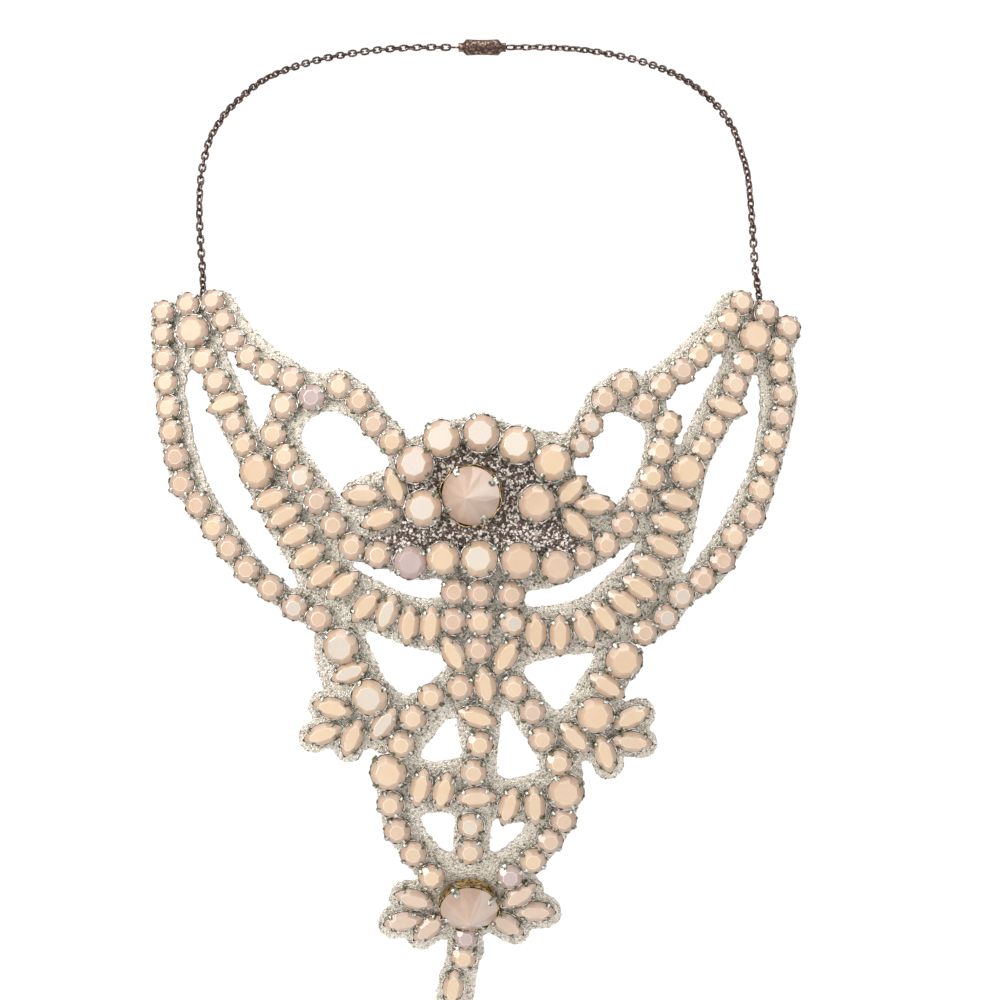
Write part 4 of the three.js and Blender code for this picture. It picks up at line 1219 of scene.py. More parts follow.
    def claw_spots(self) -> list[tuple[float, float, float]]:
        """Lists where the claws stand: along, across, and the direction they face, in radians."""
        s = self.sizes
        long, wide = (half + s.clearance + s.wall for half in (s.half_long, s.half_wide))
        if self.cut is not Cut.NAVETTE:
            around = [math.radians(turn) for turn in self.claw_turns]
            return [(long * math.cos(a), long * math.sin(a), a) for a in around]
        radius = self.side_radius(long, wide)
        spots = []
        for turn in self.navette_claw_turns:
            angle = math.radians(turn)
            x, y = radius * math.cos(angle), radius * math.sin(angle) + wide - radius
            spots += [(x, y, angle), (-x, -y, angle + math.pi)]
        return spots

    def claws(self) -> list[bpy.types.Object]:
        """Bends one claw over the crown's edge and copies it round the stone."""
        s = self.sizes
        thick = s.claw_width * self.claw_thickness
        low, high = s.girdle * self.claw_foot, s.girdle + self.claw_rise
        slope = math.atan2(s.top - s.girdle, s.half_wide - s.table_wide)
        Bench.clear()
        bpy.ops.mesh.primitive_cube_add(
            size=1, location=(0, 0, (low + high) / 2), scale=(thick, s.claw_width, high - low))
        claw = Bench.take("claw")
        with Bench.editing(claw):
            Bench.pick(claw, "faces", looks(2, 1))
            done = (0.0, 0.0)
            for share, climb, width in self.claw_bends:
                back = share * s.claw_reach * math.cos(slope)
                rise = climb * s.claw_reach * math.sin(slope) + self.claw_rise
                bpy.ops.mesh.extrude_region_move(TRANSFORM_OT_translate={
                    "value": (-(back - done[0]), 0, rise - done[1])})
                bpy.ops.transform.resize(value=(self.claw_thinning, width, 1))
                done = (back, rise)
            bpy.ops.mesh.select_all(action="SELECT")
            bpy.ops.mesh.normals_make_consistent(inside=False)
            bpy.ops.mesh.bevel(offset=thick * self.claw_bevel, segments=2, affect="EDGES")
        Bench.smooth(claw, self.claw_angle)
        copies = [
            Bench.copy(claw, "claw_copy", Matrix.Translation((x, y, 0)) @ Matrix.Rotation(a, 4, "Z"))
            for x, y, a in self.claw_spots()]
        Bench.drop(claw)
        return copies


@dataclass
class StoneSetter:
    """Sets the stones: gives each its place, its tone and its turn to the light."""

    loose_tilt: float = 2.2
    loose_turn: float = 20.0
    bright_reach: float = 12.0
    least_fit: float = 0.93
    most_fit: float = 1.04
    facing: float = 0.4
    rose_power: float = 1.4
    navette_rose: float = 0.35
    mauve_range: tuple[float, float] = (-0.5, 0.2)
    pinkish_mauve: float = 0.4
    box_directions: tuple[Direction, ...] = (
        (-0.26, -0.96, 0.12), (-0.36, -0.88, -0.33), (0.48, -0.85, -0.22))
    masters: dict[Cut, bpy.types.Object] = field(default_factory=dict)
    places: dict[str, list[Place]] = field(default_factory=dict)
    chance: random.Random = field(default_factory=lambda: random.Random(SEED))

    def __post_init__(self) -> None:
        """Lists the places of every piece's stones."""
        for name, (cuts, spots) in ROWS.items():
            self.places[name] = [
                self.place(name, i, cut, spot) for i, (cut, spot) in enumerate(zip(cuts, spots))]
        for name, (cuts, spots) in LOOSE.items():
            for i, (cut, spot) in enumerate(zip(cuts, spots)):
                piece = f"{name}_{i + 1}"
                self.places[piece] = [self.place(piece, 0, cut, spot)]
        for name, (cut, spot) in SINGLE.items():
            self.places[name] = [self.place(name, 0, cut, spot)]
        self.fit_neighbours()

    def fit_neighbours(self) -> None:
        """Chooses round stones small enough to lie beside their round neighbours."""
        round_ones = [
            (name, i, p) for name, listed in self.places.items() for i, p in enumerate(listed)
            if p.cut is not Cut.NAVETTE]
        spots = {(name, i): Vector(CHEST.lifted(p.x, p.z, 0)) for name, i, p in round_ones}
        for name, i, p in round_ones:
            shares = [
                (spots[name, i] - spots[other, j]).length
                / (SIZES[p.cut].half_wide + SIZES[q.cut].half_wide)
                for other, j, q in round_ones if (other, j) != (name, i)]
            fit = min(self.most_fit, max(self.least_fit, min(shares)))
            if p.cut is not Cut.RIVOLI:
                self.places[name][i] = replace(p, fit=fit)

    def place(self, piece: str, number: int, letter: str, spot: Spot) -> Place:
        """Settles one stone's place and look.

        Args:
            piece: The CAD node that the stone belongs to.
            number: The stone's number in it.
            letter: Its cut's letter.
            spot: Its place in the front view, and its turn if it has one.

        Returns:
            The place.
        """
        cut = Cut(letter)
        turn = spot[2] if len(spot) > 2 else self.chance.uniform(-self.loose_turn, self.loose_turn)
        bed = Bed.EYE_GROUND if piece.startswith(ON_EYE_GROUND) else Bed.CLOTH
        tone = self.chance.random() ** self.rose_power
        tone *= self.navette_rose if cut is Cut.NAVETTE else 1.0
        mauve = max(0.0, self.chance.uniform(*self.mauve_range))
        if cut is Cut.RIVOLI or piece.startswith(PINKISH):
            mauve = self.pinkish_mauve
        if (piece, number) in MAUVE:
            mauve = 1.0
        glint = float((piece, number) in BRIGHT)
        tilt = self.tilt(piece, Vector(CHEST.normal(*spot[:2])), bool(glint))
        return Place(cut, spot[0], spot[1], turn, bed, tone, mauve, tilt, glint)

    def tilt(self, piece: str, normal: Vector, bright: bool) -> Quaternion:
        """Finds how a stone leans on the cloth.

        Args:
            piece: The CAD node that the stone belongs to.
            normal: The table's direction before the turn.
            bright: Whether its table mirrors a soft box.

        Returns:
            The turn.
        """
        if piece in RIVOLI_LEANS:
            axis, degrees = RIVOLI_LEANS[piece]
            return Quaternion(Vector(axis), math.radians(degrees))
        if bright:
            return self.toward_light(normal)
        axis = Vector((self.chance.uniform(-1, 1), 0, self.chance.uniform(-1, 1))).normalized()
        loose = Quaternion(axis, math.radians(self.chance.gauss(0, self.loose_tilt)))
        front = normal.rotation_difference(Vector((0, -1, 0)))
        return loose @ Quaternion(front.axis, front.angle * self.facing)

    def toward_light(self, normal: Vector) -> Quaternion:
        """Finds the turn that lets a table mirror the nearest soft box to the camera.

        Args:
            normal: The table's direction before the turn.

        Returns:
            The turn, no larger than a sewn stone can lie.
        """
        halves = [(Vector(d).normalized() + Vector((0, -1, 0))).normalized()
                  for d in self.box_directions]
        best = max(halves, key=normal.dot)
        turn = normal.rotation_difference(best)
        angle = min(turn.angle, math.radians(self.bright_reach))
        return Quaternion(turn.axis, angle)

    def set_stone(self, place: Place) -> bpy.types.Object:
        """Copies the cut's master to a place and gives the copy its tone."""
        copy = Bench.copy(self.masters[place.cut], "stone_copy", place.seat())
        # glint marks a stone whose table gets a painted reflection
        for name, value in (("tone", place.tone), ("mauve", place.mauve), ("glint", place.glint)):
            marks = copy.data.attributes.new(name, "FLOAT", "FACE")
            marks.data.foreach_set("value", [value] * len(copy.data.polygons))
        return copy

    def build(self) -> None:
        """Makes the masters and every piece of set stones."""
        for cut in Cut:
            self.masters[cut] = StoneMaster(cut).build()
        for name, places in self.places.items():
            stones = [self.set_stone(place) for place in places]
            dress(Bench.join(f"set_{name}", stones), STONE_SLOT, name)
        Bench.drop(*self.masters.values())


# Cloth


def curve_point(
    a: np.ndarray, b: np.ndarray, c: np.ndarray, d: np.ndarray, t: float
) -> np.ndarray:
    """Finds a point of the smooth curve from b to c, with a before them and d after them."""
    return 0.5 * (
        2 * b + (c - a) * t + (2 * a - 5 * b + 4 * c - d) * t**2 + (3 * b - a - 3 * c + d) * t**3)


def smooth_ring(points: Ring, step: float = 1.0) -> np.ndarray:
    """Rounds a ring of points off with a curve that passes through them.

    Args:
        points: The ring's corners.
        step: About how far apart the new points lie.

    Returns:
        The new points, one to a row.
    """
    corners = np.array(points, float)
    found = []
    for i, b in enumerate(corners):
        a, c, d = corners[i - 1], corners[(i + 1) % len(corners)], corners[(i + 2) % len(corners)]
        for t in np.arange(0, 1, step / max(step, float(np.linalg.norm(c - b)))):
            found.append(curve_point(a, b, c, d, t))
    return np.array(found)


class FrontMap:
    """A map of the front view that says how far each spot lies outside a cloth's edge."""

    margin = 4.0
    fray_reach = 3.0
    thread_tuck = 0.45

    def __init__(self, low: tuple[float, float], high: tuple[float, float], step: float) -> None:
        """Starts with no cloth.

        Args:
            low: The map's lower left corner.
            high: Its upper right corner.
            step: The distance between its spots.
        """
        self.step = step
        self.low = np.array(low)
        self.xs = np.arange(low[0], high[0] + step, step)
        self.zs = np.arange(low[1], high[1] + step, step)
        self.x, self.z = np.meshgrid(self.xs, self.zs, indexing="ij")
        self.out = np.full(self.x.shape, FAR)

    def window(self, ring: np.ndarray, reach: float = 0.0) -> tuple[slice, slice]:
        """Finds the part of the map round some points, with a reach and a margin."""
        margin = reach + self.margin
        first = np.maximum((ring.min(0) - margin - self.low) // self.step, 0).astype(int)
        last = ((ring.max(0) + margin - self.low) // self.step + 2).astype(int)
        return slice(first[0], last[0]), slice(first[1], last[1])

    @staticmethod
    def from_line(
        x: np.ndarray, z: np.ndarray, start: np.ndarray, end: np.ndarray
    ) -> np.ndarray:
        """Finds the distances of spots from a straight line's stretch."""
        line = end - start
        length = max(float(line @ line), TINY)
        share = np.clip(((x - start[0]) * line[0] + (z - start[1]) * line[1]) / length, 0, 1)
        return np.hypot(x - start[0] - share * line[0], z - start[1] - share * line[1])

    def ring_distance(self, ring: np.ndarray, part: tuple[slice, slice]) -> np.ndarray:
        """Finds how far spots lie outside a closed ring; inside it the distance is negative."""
        x, z = self.x[part], self.z[part]
        away = np.full(x.shape, FAR)
        inside = np.zeros(x.shape, bool)
        for start, end in zip(ring, np.roll(ring, -1, axis=0)):
            away = np.minimum(away, self.from_line(x, z, start, end))
            crossing = (start[1] > z) != (end[1] > z)
            rise = end[1] - start[1] if abs(end[1] - start[1]) > TINY else TINY
            inside ^= crossing & (x < start[0] + (z - start[1]) / rise * (end[0] - start[0]))
        return np.where(inside, -away, away)

    def add_ring(self, ring: np.ndarray) -> None:
        """Lays cloth inside a ring."""
        part = self.window(ring)
        self.out[part] = np.minimum(self.out[part], self.ring_distance(ring, part))

    def cut_ring(self, ring: np.ndarray) -> None:
        """Cuts a gap with the shape of a ring."""
        part = self.window(ring)
        self.out[part] = np.maximum(self.out[part], -self.ring_distance(ring, part))

    def add_band(self, line: Sequence[Spot], left: float, right: float) -> None:
        """Lays a band of cloth along a line.

        Args:
            line: The points of the line, from its start to its end.
            left: How far the cloth reaches to its left, seen along the line.
            right: How far it reaches to its right.
        """
        points = np.array([spot[:2] for spot in line], float)
        radius, shift = (left + right) / 2, (left - right) / 2
        for start, end in zip(points, points[1:]):
            ahead = (end - start) / max(float(np.linalg.norm(end - start)), TINY)
            side = np.array([-ahead[1], ahead[0]]) * shift
            ends = np.array([start + side, end + side])
            part = self.window(ends, radius)
            away = self.from_line(self.x[part], self.z[part], *ends) - radius
            self.out[part] = np.minimum(self.out[part], away)

    def add_pad(self, place: Place, hem: float) -> None:
        """Lays the cloth under one stone, larger than the stone by the hem."""
        reach = self.pad_radius(place, hem)
        self.add_band(self.pad_line(place), reach, reach)

    def cut_pad(self, place: Place, gap: float) -> None:
        """Cuts the cloth clear of one stone."""
        start, end = np.array(self.pad_line(place), float)
        radius = self.pad_radius(place, gap)
        part = self.window(np.array([start, end]), radius)
        away = self.from_line(self.x[part], self.z[part], start, end) - radius
        self.out[part] = np.maximum(self.out[part], -away)

    @staticmethod
    def pad_line(place: Place) -> list[Spot]:
        """Finds the line that a stone's pad is drawn along: a point for a round one."""
        half = max(SIZES[place.cut].half_long - SIZES[place.cut].half_wide, 0.01)
        angle = math.radians(place.turn)
        step = (half * math.cos(angle), half * math.sin(angle))
        return [(place.x - step[0], place.z - step[1]), (place.x + step[0], place.z + step[1])]

    @staticmethod
    def pad_radius(place: Place, hem: float) -> float:
        """Finds the reach of a stone's pad from its line."""
        return SIZES[place.cut].half_wide + hem

    def fray(self, depth: float, grain: float) -> None:
        """Makes the edge uneven.

        Args:
            depth: How far it strays to either side.
            grain: The size of the unevenness.
        """
        near = np.argwhere(np.abs(self.out) < self.fray_reach)
        for i, j in near:
            spot = Vector((self.x[i, j] / grain, self.z[i, j] / grain, 0.5))
            self.out[i, j] += depth * noise.noise(spot)

    def keep_main_piece(self) -> None:
        """Drops the crumbs of cloth that don't join the largest piece."""
        inside = self.out < 0
        lot = np.zeros(inside.shape, int)
        sizes = [0]
        for seed in np.argwhere(inside):
            if lot[tuple(seed)]:
                continue
            sizes.append(0)
            todo = [tuple(seed)]
            lot[todo[0]] = len(sizes) - 1
            while todo:
                i, j = todo.pop()
                sizes[-1] += 1
                for spot in ((i + 1, j), (i - 1, j), (i, j + 1), (i, j - 1)):
                    if inside[spot] and not lot[spot]:
                        lot[spot] = len(sizes) - 1
                        todo.append(spot)
        self.out[inside & (lot != int(np.argmax(sizes)))] = self.step

    def slope(self) -> tuple[np.ndarray, np.ndarray]:
        """Finds the direction away from the cloth at each spot, as two maps."""
        across, up = np.gradient(self.out, self.step)
        size = np.maximum(np.hypot(across, up), 1e-6)
        return across / size, up / size

    def edge_spots(self, spacing: float, chance: random.Random) -> list[tuple[float, float, float]]:
        """Picks spots along the edge, at least a given distance apart.

        Args:
            spacing: The least distance between two spots.
            chance: Where the order comes from.

        Returns:
            For each spot its place in the front view and the direction out of the cloth, in radians.
        """
        across, up = self.slope()
        near = np.argwhere(np.abs(self.out) < 0.55 * self.step)
        order = list(range(len(near)))
        chance.shuffle(order)
        taken: dict[tuple[int, int], list[tuple[float, float]]] = {}
        found = []
        for i, j in (near[k] for k in order):
            x = self.x[i, j] - across[i, j] * self.out[i, j]
            z = self.z[i, j] - up[i, j] * self.out[i, j]
            cell = (int(x // spacing), int(z // spacing))
            beside = [p for a in (-1, 0, 1) for b in (-1, 0, 1)
                      for p in taken.get((cell[0] + a, cell[1] + b), ())]
            if all(math.hypot(x - p[0], z - p[1]) >= spacing for p in beside):
                taken.setdefault(cell, []).append((x, z))
                found.append((x, z, math.atan2(up[i, j], across[i, j])))
        return found

    def inner_spots(
        self, count: int, depth: float, chance: random.Random, stones: Sequence[Place]
    ) -> list[tuple[float, float]]:
        """Picks spots on the cloth that no stone covers.

        Args:
            count: How many spots are tried.
            depth: The least distance from the edge.
            chance: Where the spots come from.
            stones: The stones that cover the cloth.

        Returns:
            The spots' places in the front view.
        """
        covered = FrontMap(
            (self.xs[0], self.zs[0]), (self.xs[-1] - self.step / 2, self.zs[-1] - self.step / 2),
            self.step)
        for place in stones:
            covered.add_pad(place, -self.thread_tuck)
        rows, columns = (min(a, b) for a, b in zip(self.out.shape, covered.out.shape))
        free = (self.out[:rows, :columns] < -depth) & (covered.out[:rows, :columns] > 0)
        spots = np.argwhere(free)
        return [
            (float(self.xs[i]) + chance.uniform(-0.5, 0.5) * self.step,
             float(self.zs[j]) + chance.uniform(-0.5, 0.5) * self.step)
            for i, j in (spots[chance.randrange(len(spots))] for _ in range(count))]


@dataclass
class ClothSheet:
    """A sheet of cloth on the chest, made from a map of the front view."""

    name: str
    shape: FrontMap
    lift: float
    thickness: float
    ridge: float = 0.25
    ridge_width: float = 0.7
    swell: float = 0.1
    swell_grain: float = 1.1
    soft_angle: float = 55.0

    def heights(self, used: np.ndarray) -> np.ndarray:
        """Finds the cloth's height at the map's used spots: a thick edge and small swellings."""
        inward = np.maximum(-self.shape.out[used], 0)
        rim = self.ridge * np.exp(-(((inward - self.ridge_width) / self.ridge_width) ** 2))
        x, z = self.shape.x[used], self.shape.z[used]
        swell = [noise.noise(Vector((a / self.swell_grain, b / self.swell_grain, 3.3)))
                 for a, b in zip(x, z)]
        return self.lift + rim + self.swell * np.array(swell)

    def build(self, finish: Finish) -> bpy.types.Object:
        """Makes the sheet's mesh, with its thickness.

        Args:
            finish: The cloth's finish.

        Returns:
            The sheet.
        """
        shape = self.shape
        across, up = shape.slope()
        inside = shape.out <= 0
        beside = np.zeros_like(inside)
        beside[1:-1, 1:-1] = (
            inside[2:, 1:-1] | inside[:-2, 1:-1] | inside[1:-1, 2:] | inside[1:-1, :-2]
            | inside[2:, 2:] | inside[:-2, :-2] | inside[2:, :-2] | inside[:-2, 2:])
        used = inside | (beside & (shape.out < 0.8 * shape.step))
        snapped = used & (shape.out > -0.3 * shape.step)
        x = np.where(snapped, shape.x - across * shape.out, shape.x)
        z = np.where(snapped, shape.z - up * shape.out, shape.z)
        number = np.full(used.shape, -1)
        number[used] = np.arange(used.sum())
        quads = np.stack(
            [number[:-1, :-1], number[1:, :-1], number[1:, 1:], number[:-1, 1:]], -1).reshape(-1, 4)
        quads = quads[(quads >= 0).all(1)]
        places = CHEST.lifted(x[used], z[used], self.heights(used)) * MM
        mesh = bpy.data.meshes.new(self.name)
        mesh.from_pydata(places.tolist(), [], quads.tolist())
        sheet = Bench.put(self.name, mesh)
        with Bench.editing(sheet, "VERT"):
            bpy.ops.mesh.select_all(action="SELECT")
            bpy.ops.mesh.delete_loose()
        area = sum(face.area for face in sheet.data.polygons)
        log.info("%s: %.0f square millimetres of cloth", self.name, area / MM**2)
        Bench.apply(sheet, "SOLIDIFY", thickness=self.thickness * MM, offset=-1.0)
        Bench.smooth(sheet, self.soft_angle)
        sheet.data.materials.append(finish.material())
        return sheet


@dataclass
class Threadwork:
    """Small bits of thread on a cloth: overcast stitches on its edge, knots and loops."""

    shape: FrontMap
    stitch_length: float = 1.25
    stitch_width: float = 0.46
    edge_spacing: float = 0.5
    edge_lean: float = 0.25
    knots: int = 5450
    knot_share: float = 0.8
    knot_lift: float = 0.02
    knot_margin: float = 0.5
    loop_spacing: float = 9.0
    loop_size: float = 0.3
    loop_share: float = 0.6
    loop_lean: float = 0.6
    loop_drop: float = 0.3
    chance: random.Random = field(default_factory=lambda: random.Random(SEED + 1))

    def stitch_master(self) -> bpy.types.Object:
        """Makes one stitch: a short thread, thick in its middle, that dips at both ends."""
        Bench.clear()
        bpy.ops.mesh.primitive_cylinder_add(
            vertices=5, radius=0.5, depth=0.5, rotation=(0, math.pi / 2, 0))
        stitch = Bench.take("master_stitch")
        with Bench.editing(stitch):
            for side in (1, -1):
                Bench.pick(stitch, "faces", looks(0, side))
                bpy.ops.mesh.extrude_region_move(
                    TRANSFORM_OT_translate={"value": (side * 0.25, 0, -0.25)})
                bpy.ops.transform.resize(value=(1, 0.4, 0.4))
        return stitch

    def loop_master(self) -> bpy.types.Object:
        """Makes one loop of thread: a thin oval ring."""
        Bench.clear()
        bpy.ops.mesh.primitive_torus_add(
            major_segments=10, minor_segments=4, major_radius=1.0, minor_radius=0.22)
        loop = Bench.take("master_loop")
        with Bench.editing(loop, "VERT"):
            Bench.pick(loop, "verts", lambda corner: corner.co.x > 0.3)
            bpy.ops.transform.translate(value=(0.7, 0, 0.2))
        return loop

    def lay(self, x: float, z: float, turn: float, lift: float, size: Vector) -> Matrix:
        """Makes the placement of a bit of thread on the chest.

        Args:
            x: Its place across the front view.
            z: Its place up the front view.
            turn: Its direction there, in radians.
            lift: Its height above the cloth's face.
            size: Its length, width and height.

        Returns:
            The matrix.
        """
        basis = CHEST.basis(x, z, math.degrees(turn)).to_4x4()
        origin = Vector(CHEST.lifted(x, z, lift)) * MM
        return Matrix.Translation(origin) @ basis @ Matrix.Diagonal((*(size * MM), 1))

    def edge(self) -> bpy.types.Object:
        """Cords the cloth's edge with slanting stitches along it."""
        places = []
        width = self.stitch_width
        for x, z, out in self.shape.edge_spots(self.edge_spacing, self.chance):
            inward = width * self.chance.uniform(0.5, 1.3)
            turn = out + math.pi / 2 + self.chance.gauss(self.edge_lean, self.edge_lean)
            size = Vector((self.stitch_length * self.chance.uniform(0.8, 1.2), width, width * 0.9))
            spot = (x - inward * math.cos(out), z - inward * math.sin(out))
            places.append(self.lay(*spot, turn, 0.0, size))
        return self.finish(self.stitch_master(), "corded_edge", places, SHADED_EDGE_THREAD)

    def face(self, stones: Sequence[Place]) -> bpy.types.Object:
        """Covers the cloth's face with short stitches in all directions, where no stone lies."""
        places = []
        width = self.stitch_width * self.knot_share
        for x, z in self.shape.inner_spots(self.knots, self.knot_margin, self.chance, stones):
            size = Vector((self.stitch_length * self.chance.uniform(0.5, 0.9), width, width))
            places.append(self.lay(x, z, self.chance.uniform(0, math.pi), self.knot_lift, size))
        return self.finish(self.stitch_master(), "thread_knots", places, LUREX)

    def fringe(self) -> bpy.types.Object:
        """Lets small loops of thread stand out of the cloth's edge."""
        places = []
        for x, z, out in self.shape.edge_spots(self.loop_spacing, self.chance):
            size = self.loop_size * self.chance.uniform(0.6, 1.3)
            width = size * self.loop_share
            turn = out + self.chance.gauss(0, self.loop_lean)
            places.append(self.lay(x, z, turn, -self.loop_drop, Vector((size, width, width))))
        return self.finish(self.loop_master(), "thread_fringe", places, SHADED_EDGE_THREAD)

    def finish(
        self, master: bpy.types.Object, name: str, places: Sequence[Matrix], finish: Finish
    ) -> bpy.types.Object:
        """Copies the master to its places, and removes it."""
        piece = Bench.scatter(master, name, places, [self.chance.random() for _ in places])
        Bench.drop(master)
        Bench.smooth(piece)
        piece.data.materials.append(finish.material())
        return piece


@dataclass
class Backing:
    """The openwork cloth with its overcast edges, its knots and its fringe."""

    setter: StoneSetter
    step: float = 0.75
    thickness: float = 1.5
    flat: tuple[float, float] = (0.156, 0.173)
    area: float = 0.0127
    arc_length: int = 9
    arc_petal_reach: float = 6.4
    block_hem: float = 1.6
    hem_trim: float = -0.2
    thread_reach: float = 0.35
    fray: tuple[float, float] = (0.3, 1.2)
    low_corner: tuple[float, float] = (-88.0, -132.0)
    high_corner: tuple[float, float] = (88.0, 60.0)

    def row_band(self, shape: FrontMap, name: str, places: Sequence[Place]) -> None:
        """Lays the band of cloth under a row of stones, with its hems."""
        left, right = HEMS[name]
        first = SIZES[places[0].cut]
        across = first.half_long if places[0].cut is Cut.NAVETTE else first.half_wide
        if any(place.cut is Cut.SMALL for place in places):
            across = SIZES[Cut.SMALL].half_wide
        across += self.hem_trim
        line = [np.array((p.x, p.z)) for p in places]
        for end, next_one in ((0, 1), (-1, -2)):
            inward = line[next_one] - line[end]
            line[end] = line[end] + inward / np.linalg.norm(inward) * (left + right) / 2
        shape.add_band([tuple(point) for point in line], across + left, across + right)

    def outline(self) -> FrontMap:
        """Draws the cloth's map: the ground, the bands, the pads and the strips, less the gaps."""
        shape = FrontMap(self.low_corner, self.high_corner, self.step)
        places = self.setter.places
        rows = {name: places[name] for name in ROWS}
        for name in ("eye_chaton_upper", "eye_chaton_lower"):
            rows[name] = [places[f"{name}_{i + 1}"][0] for i in range(5)]
        ring = []
        for name, first, last in EDGE_ROWS:
            step = 1 if last >= first else -1
            ring += [(rows[name][i].x, rows[name][i].z) for i in range(first, last + step, step)]
        shape.add_ring(np.array(ring))
        for name, row in rows.items():
            if name.startswith("arc_row"):
                self.row_band(shape, name, row[:self.arc_length])
                petals = [(p.x, p.z) for p in row[self.arc_length:]]
                shape.add_band(petals, self.arc_petal_reach, self.arc_petal_reach)
            elif name != "centre_block":
                self.row_band(shape, name, row)
            for place in row:
                shape.add_pad(place, 0.0)
        for name, listed in places.items():
            if name not in rows:
                shape.add_pad(listed[0], SINGLE_HEMS[name.split("_")[0]])
        for place in places["centre_block"]:
            shape.add_pad(place, self.block_hem)
        for width, line in STRIPS.values():
            shape.add_band(line, width / 2, width / 2)
        for gap in GAPS.values():
            shape.cut_ring(smooth_ring(gap))
        shape.out += self.thread_reach
        shape.fray(*self.fray)
        shape.keep_main_piece()
        return shape

    def build(self, chains: Sequence[bpy.types.Object]) -> None:
        """Makes the cloth and its threadwork.

        Args:
            chains: The chains that it hangs on; not used.
        """
        shape = self.outline()
        sheet = ClothSheet("lurex_backing", shape, 0.0, self.thickness).build(LUREX)
        thread = Threadwork(shape)
        stones = [place for listed in self.setter.places.values() for place in listed]
        trims = [thread.edge(), thread.face(stones), thread.fringe()]
        dress(sheet, CLOTH_SLOT, "backing")
        for trim in trims:
            dress(trim, CLOTH_SLOT)


@dataclass
class EyeGround:
    """The dark glitter cloth inside the eye, with its grains."""

    setter: StoneSetter
    step: float = 0.6
    lift: float = 1.25
    thickness: float = 0.9
    swell: float = 0.12
    swell_grain: float = 0.9
    stone_gap: float = 0.25
    grains: int = 3200
    grain_size: float = 0.34
    grain_lift: float = 0.08
    grain_margin: float = 0.2
    grain_tilt: float = 0.55
    low_corner: tuple[float, float] = (-34.0, -20.0)
    high_corner: tuple[float, float] = (32.0, 20.0)
    flat: tuple[float, float] = (0.0515, 0.0265)
    area: float = 0.0009

    def outline(self) -> FrontMap:
        """Draws the ground's map, clear of the stones sewn beside it."""
        shape = FrontMap(self.low_corner, self.high_corner, self.step)
        shape.add_ring(smooth_ring(EYE_RING))
        for name, listed in self.setter.places.items():
            if name.startswith(("inner_row", "eye_petal")):
                for place in listed:
                    shape.cut_pad(place, self.stone_gap)
        shape.keep_main_piece()
        return shape

    def grain_master(self) -> bpy.types.Object:
        """Makes one grain of glitter: a flat chip with corners."""
        Bench.clear()
        bpy.ops.mesh.primitive_cylinder_add(vertices=5, radius=1.0, depth=0.5)
        grain = Bench.take("master_grain")
        with Bench.editing(grain):
            Bench.pick(grain, "faces", looks(2, 1))
            bpy.ops.mesh.inset(thickness=0.3)
            bpy.ops.transform.translate(value=(0, 0, 0.25))
        return grain

    def build(self) -> None:
        """Makes the ground and its grains."""
        shape = self.outline()
        sheet = ClothSheet(
            "glitter_ground", shape, self.lift, self.thickness, ridge=0.0, swell=self.swell,
            swell_grain=self.swell_grain).build(GLITTER)
        chance = random.Random(SEED + 2)
        stones = [p for name, listed in self.setter.places.items()
                  if name.startswith(ON_EYE_GROUND) for p in listed]
        master = self.grain_master()
        places = []
        for x, z in shape.inner_spots(self.grains, self.grain_margin, chance, stones):
            size = self.grain_size * chance.uniform(0.6, 1.4)
            lean = chance.gauss(0, self.grain_tilt)
            axis = Vector((chance.uniform(-1, 1), chance.uniform(-1, 1), 0.01))
            tilt = Matrix.Rotation(lean, 4, axis)
            seat = Matrix.Translation(Vector(CHEST.lifted(x, z, self.lift + self.grain_lift)) * MM)
            turn = CHEST.basis(x, z, chance.uniform(0, 360)).to_4x4()
            places.append(seat @ turn @ tilt @ Matrix.Scale(size * MM, 4))
        grains = Bench.scatter(master, "glitter_grains", places, [chance.random() for _ in places])
        Bench.drop(master)
        grains.data.materials.append(GLITTER.material())
        dress(sheet, GROUND_SLOT, "eye_ground")
        dress(grains, GROUND_SLOT)


# Chain and clasp


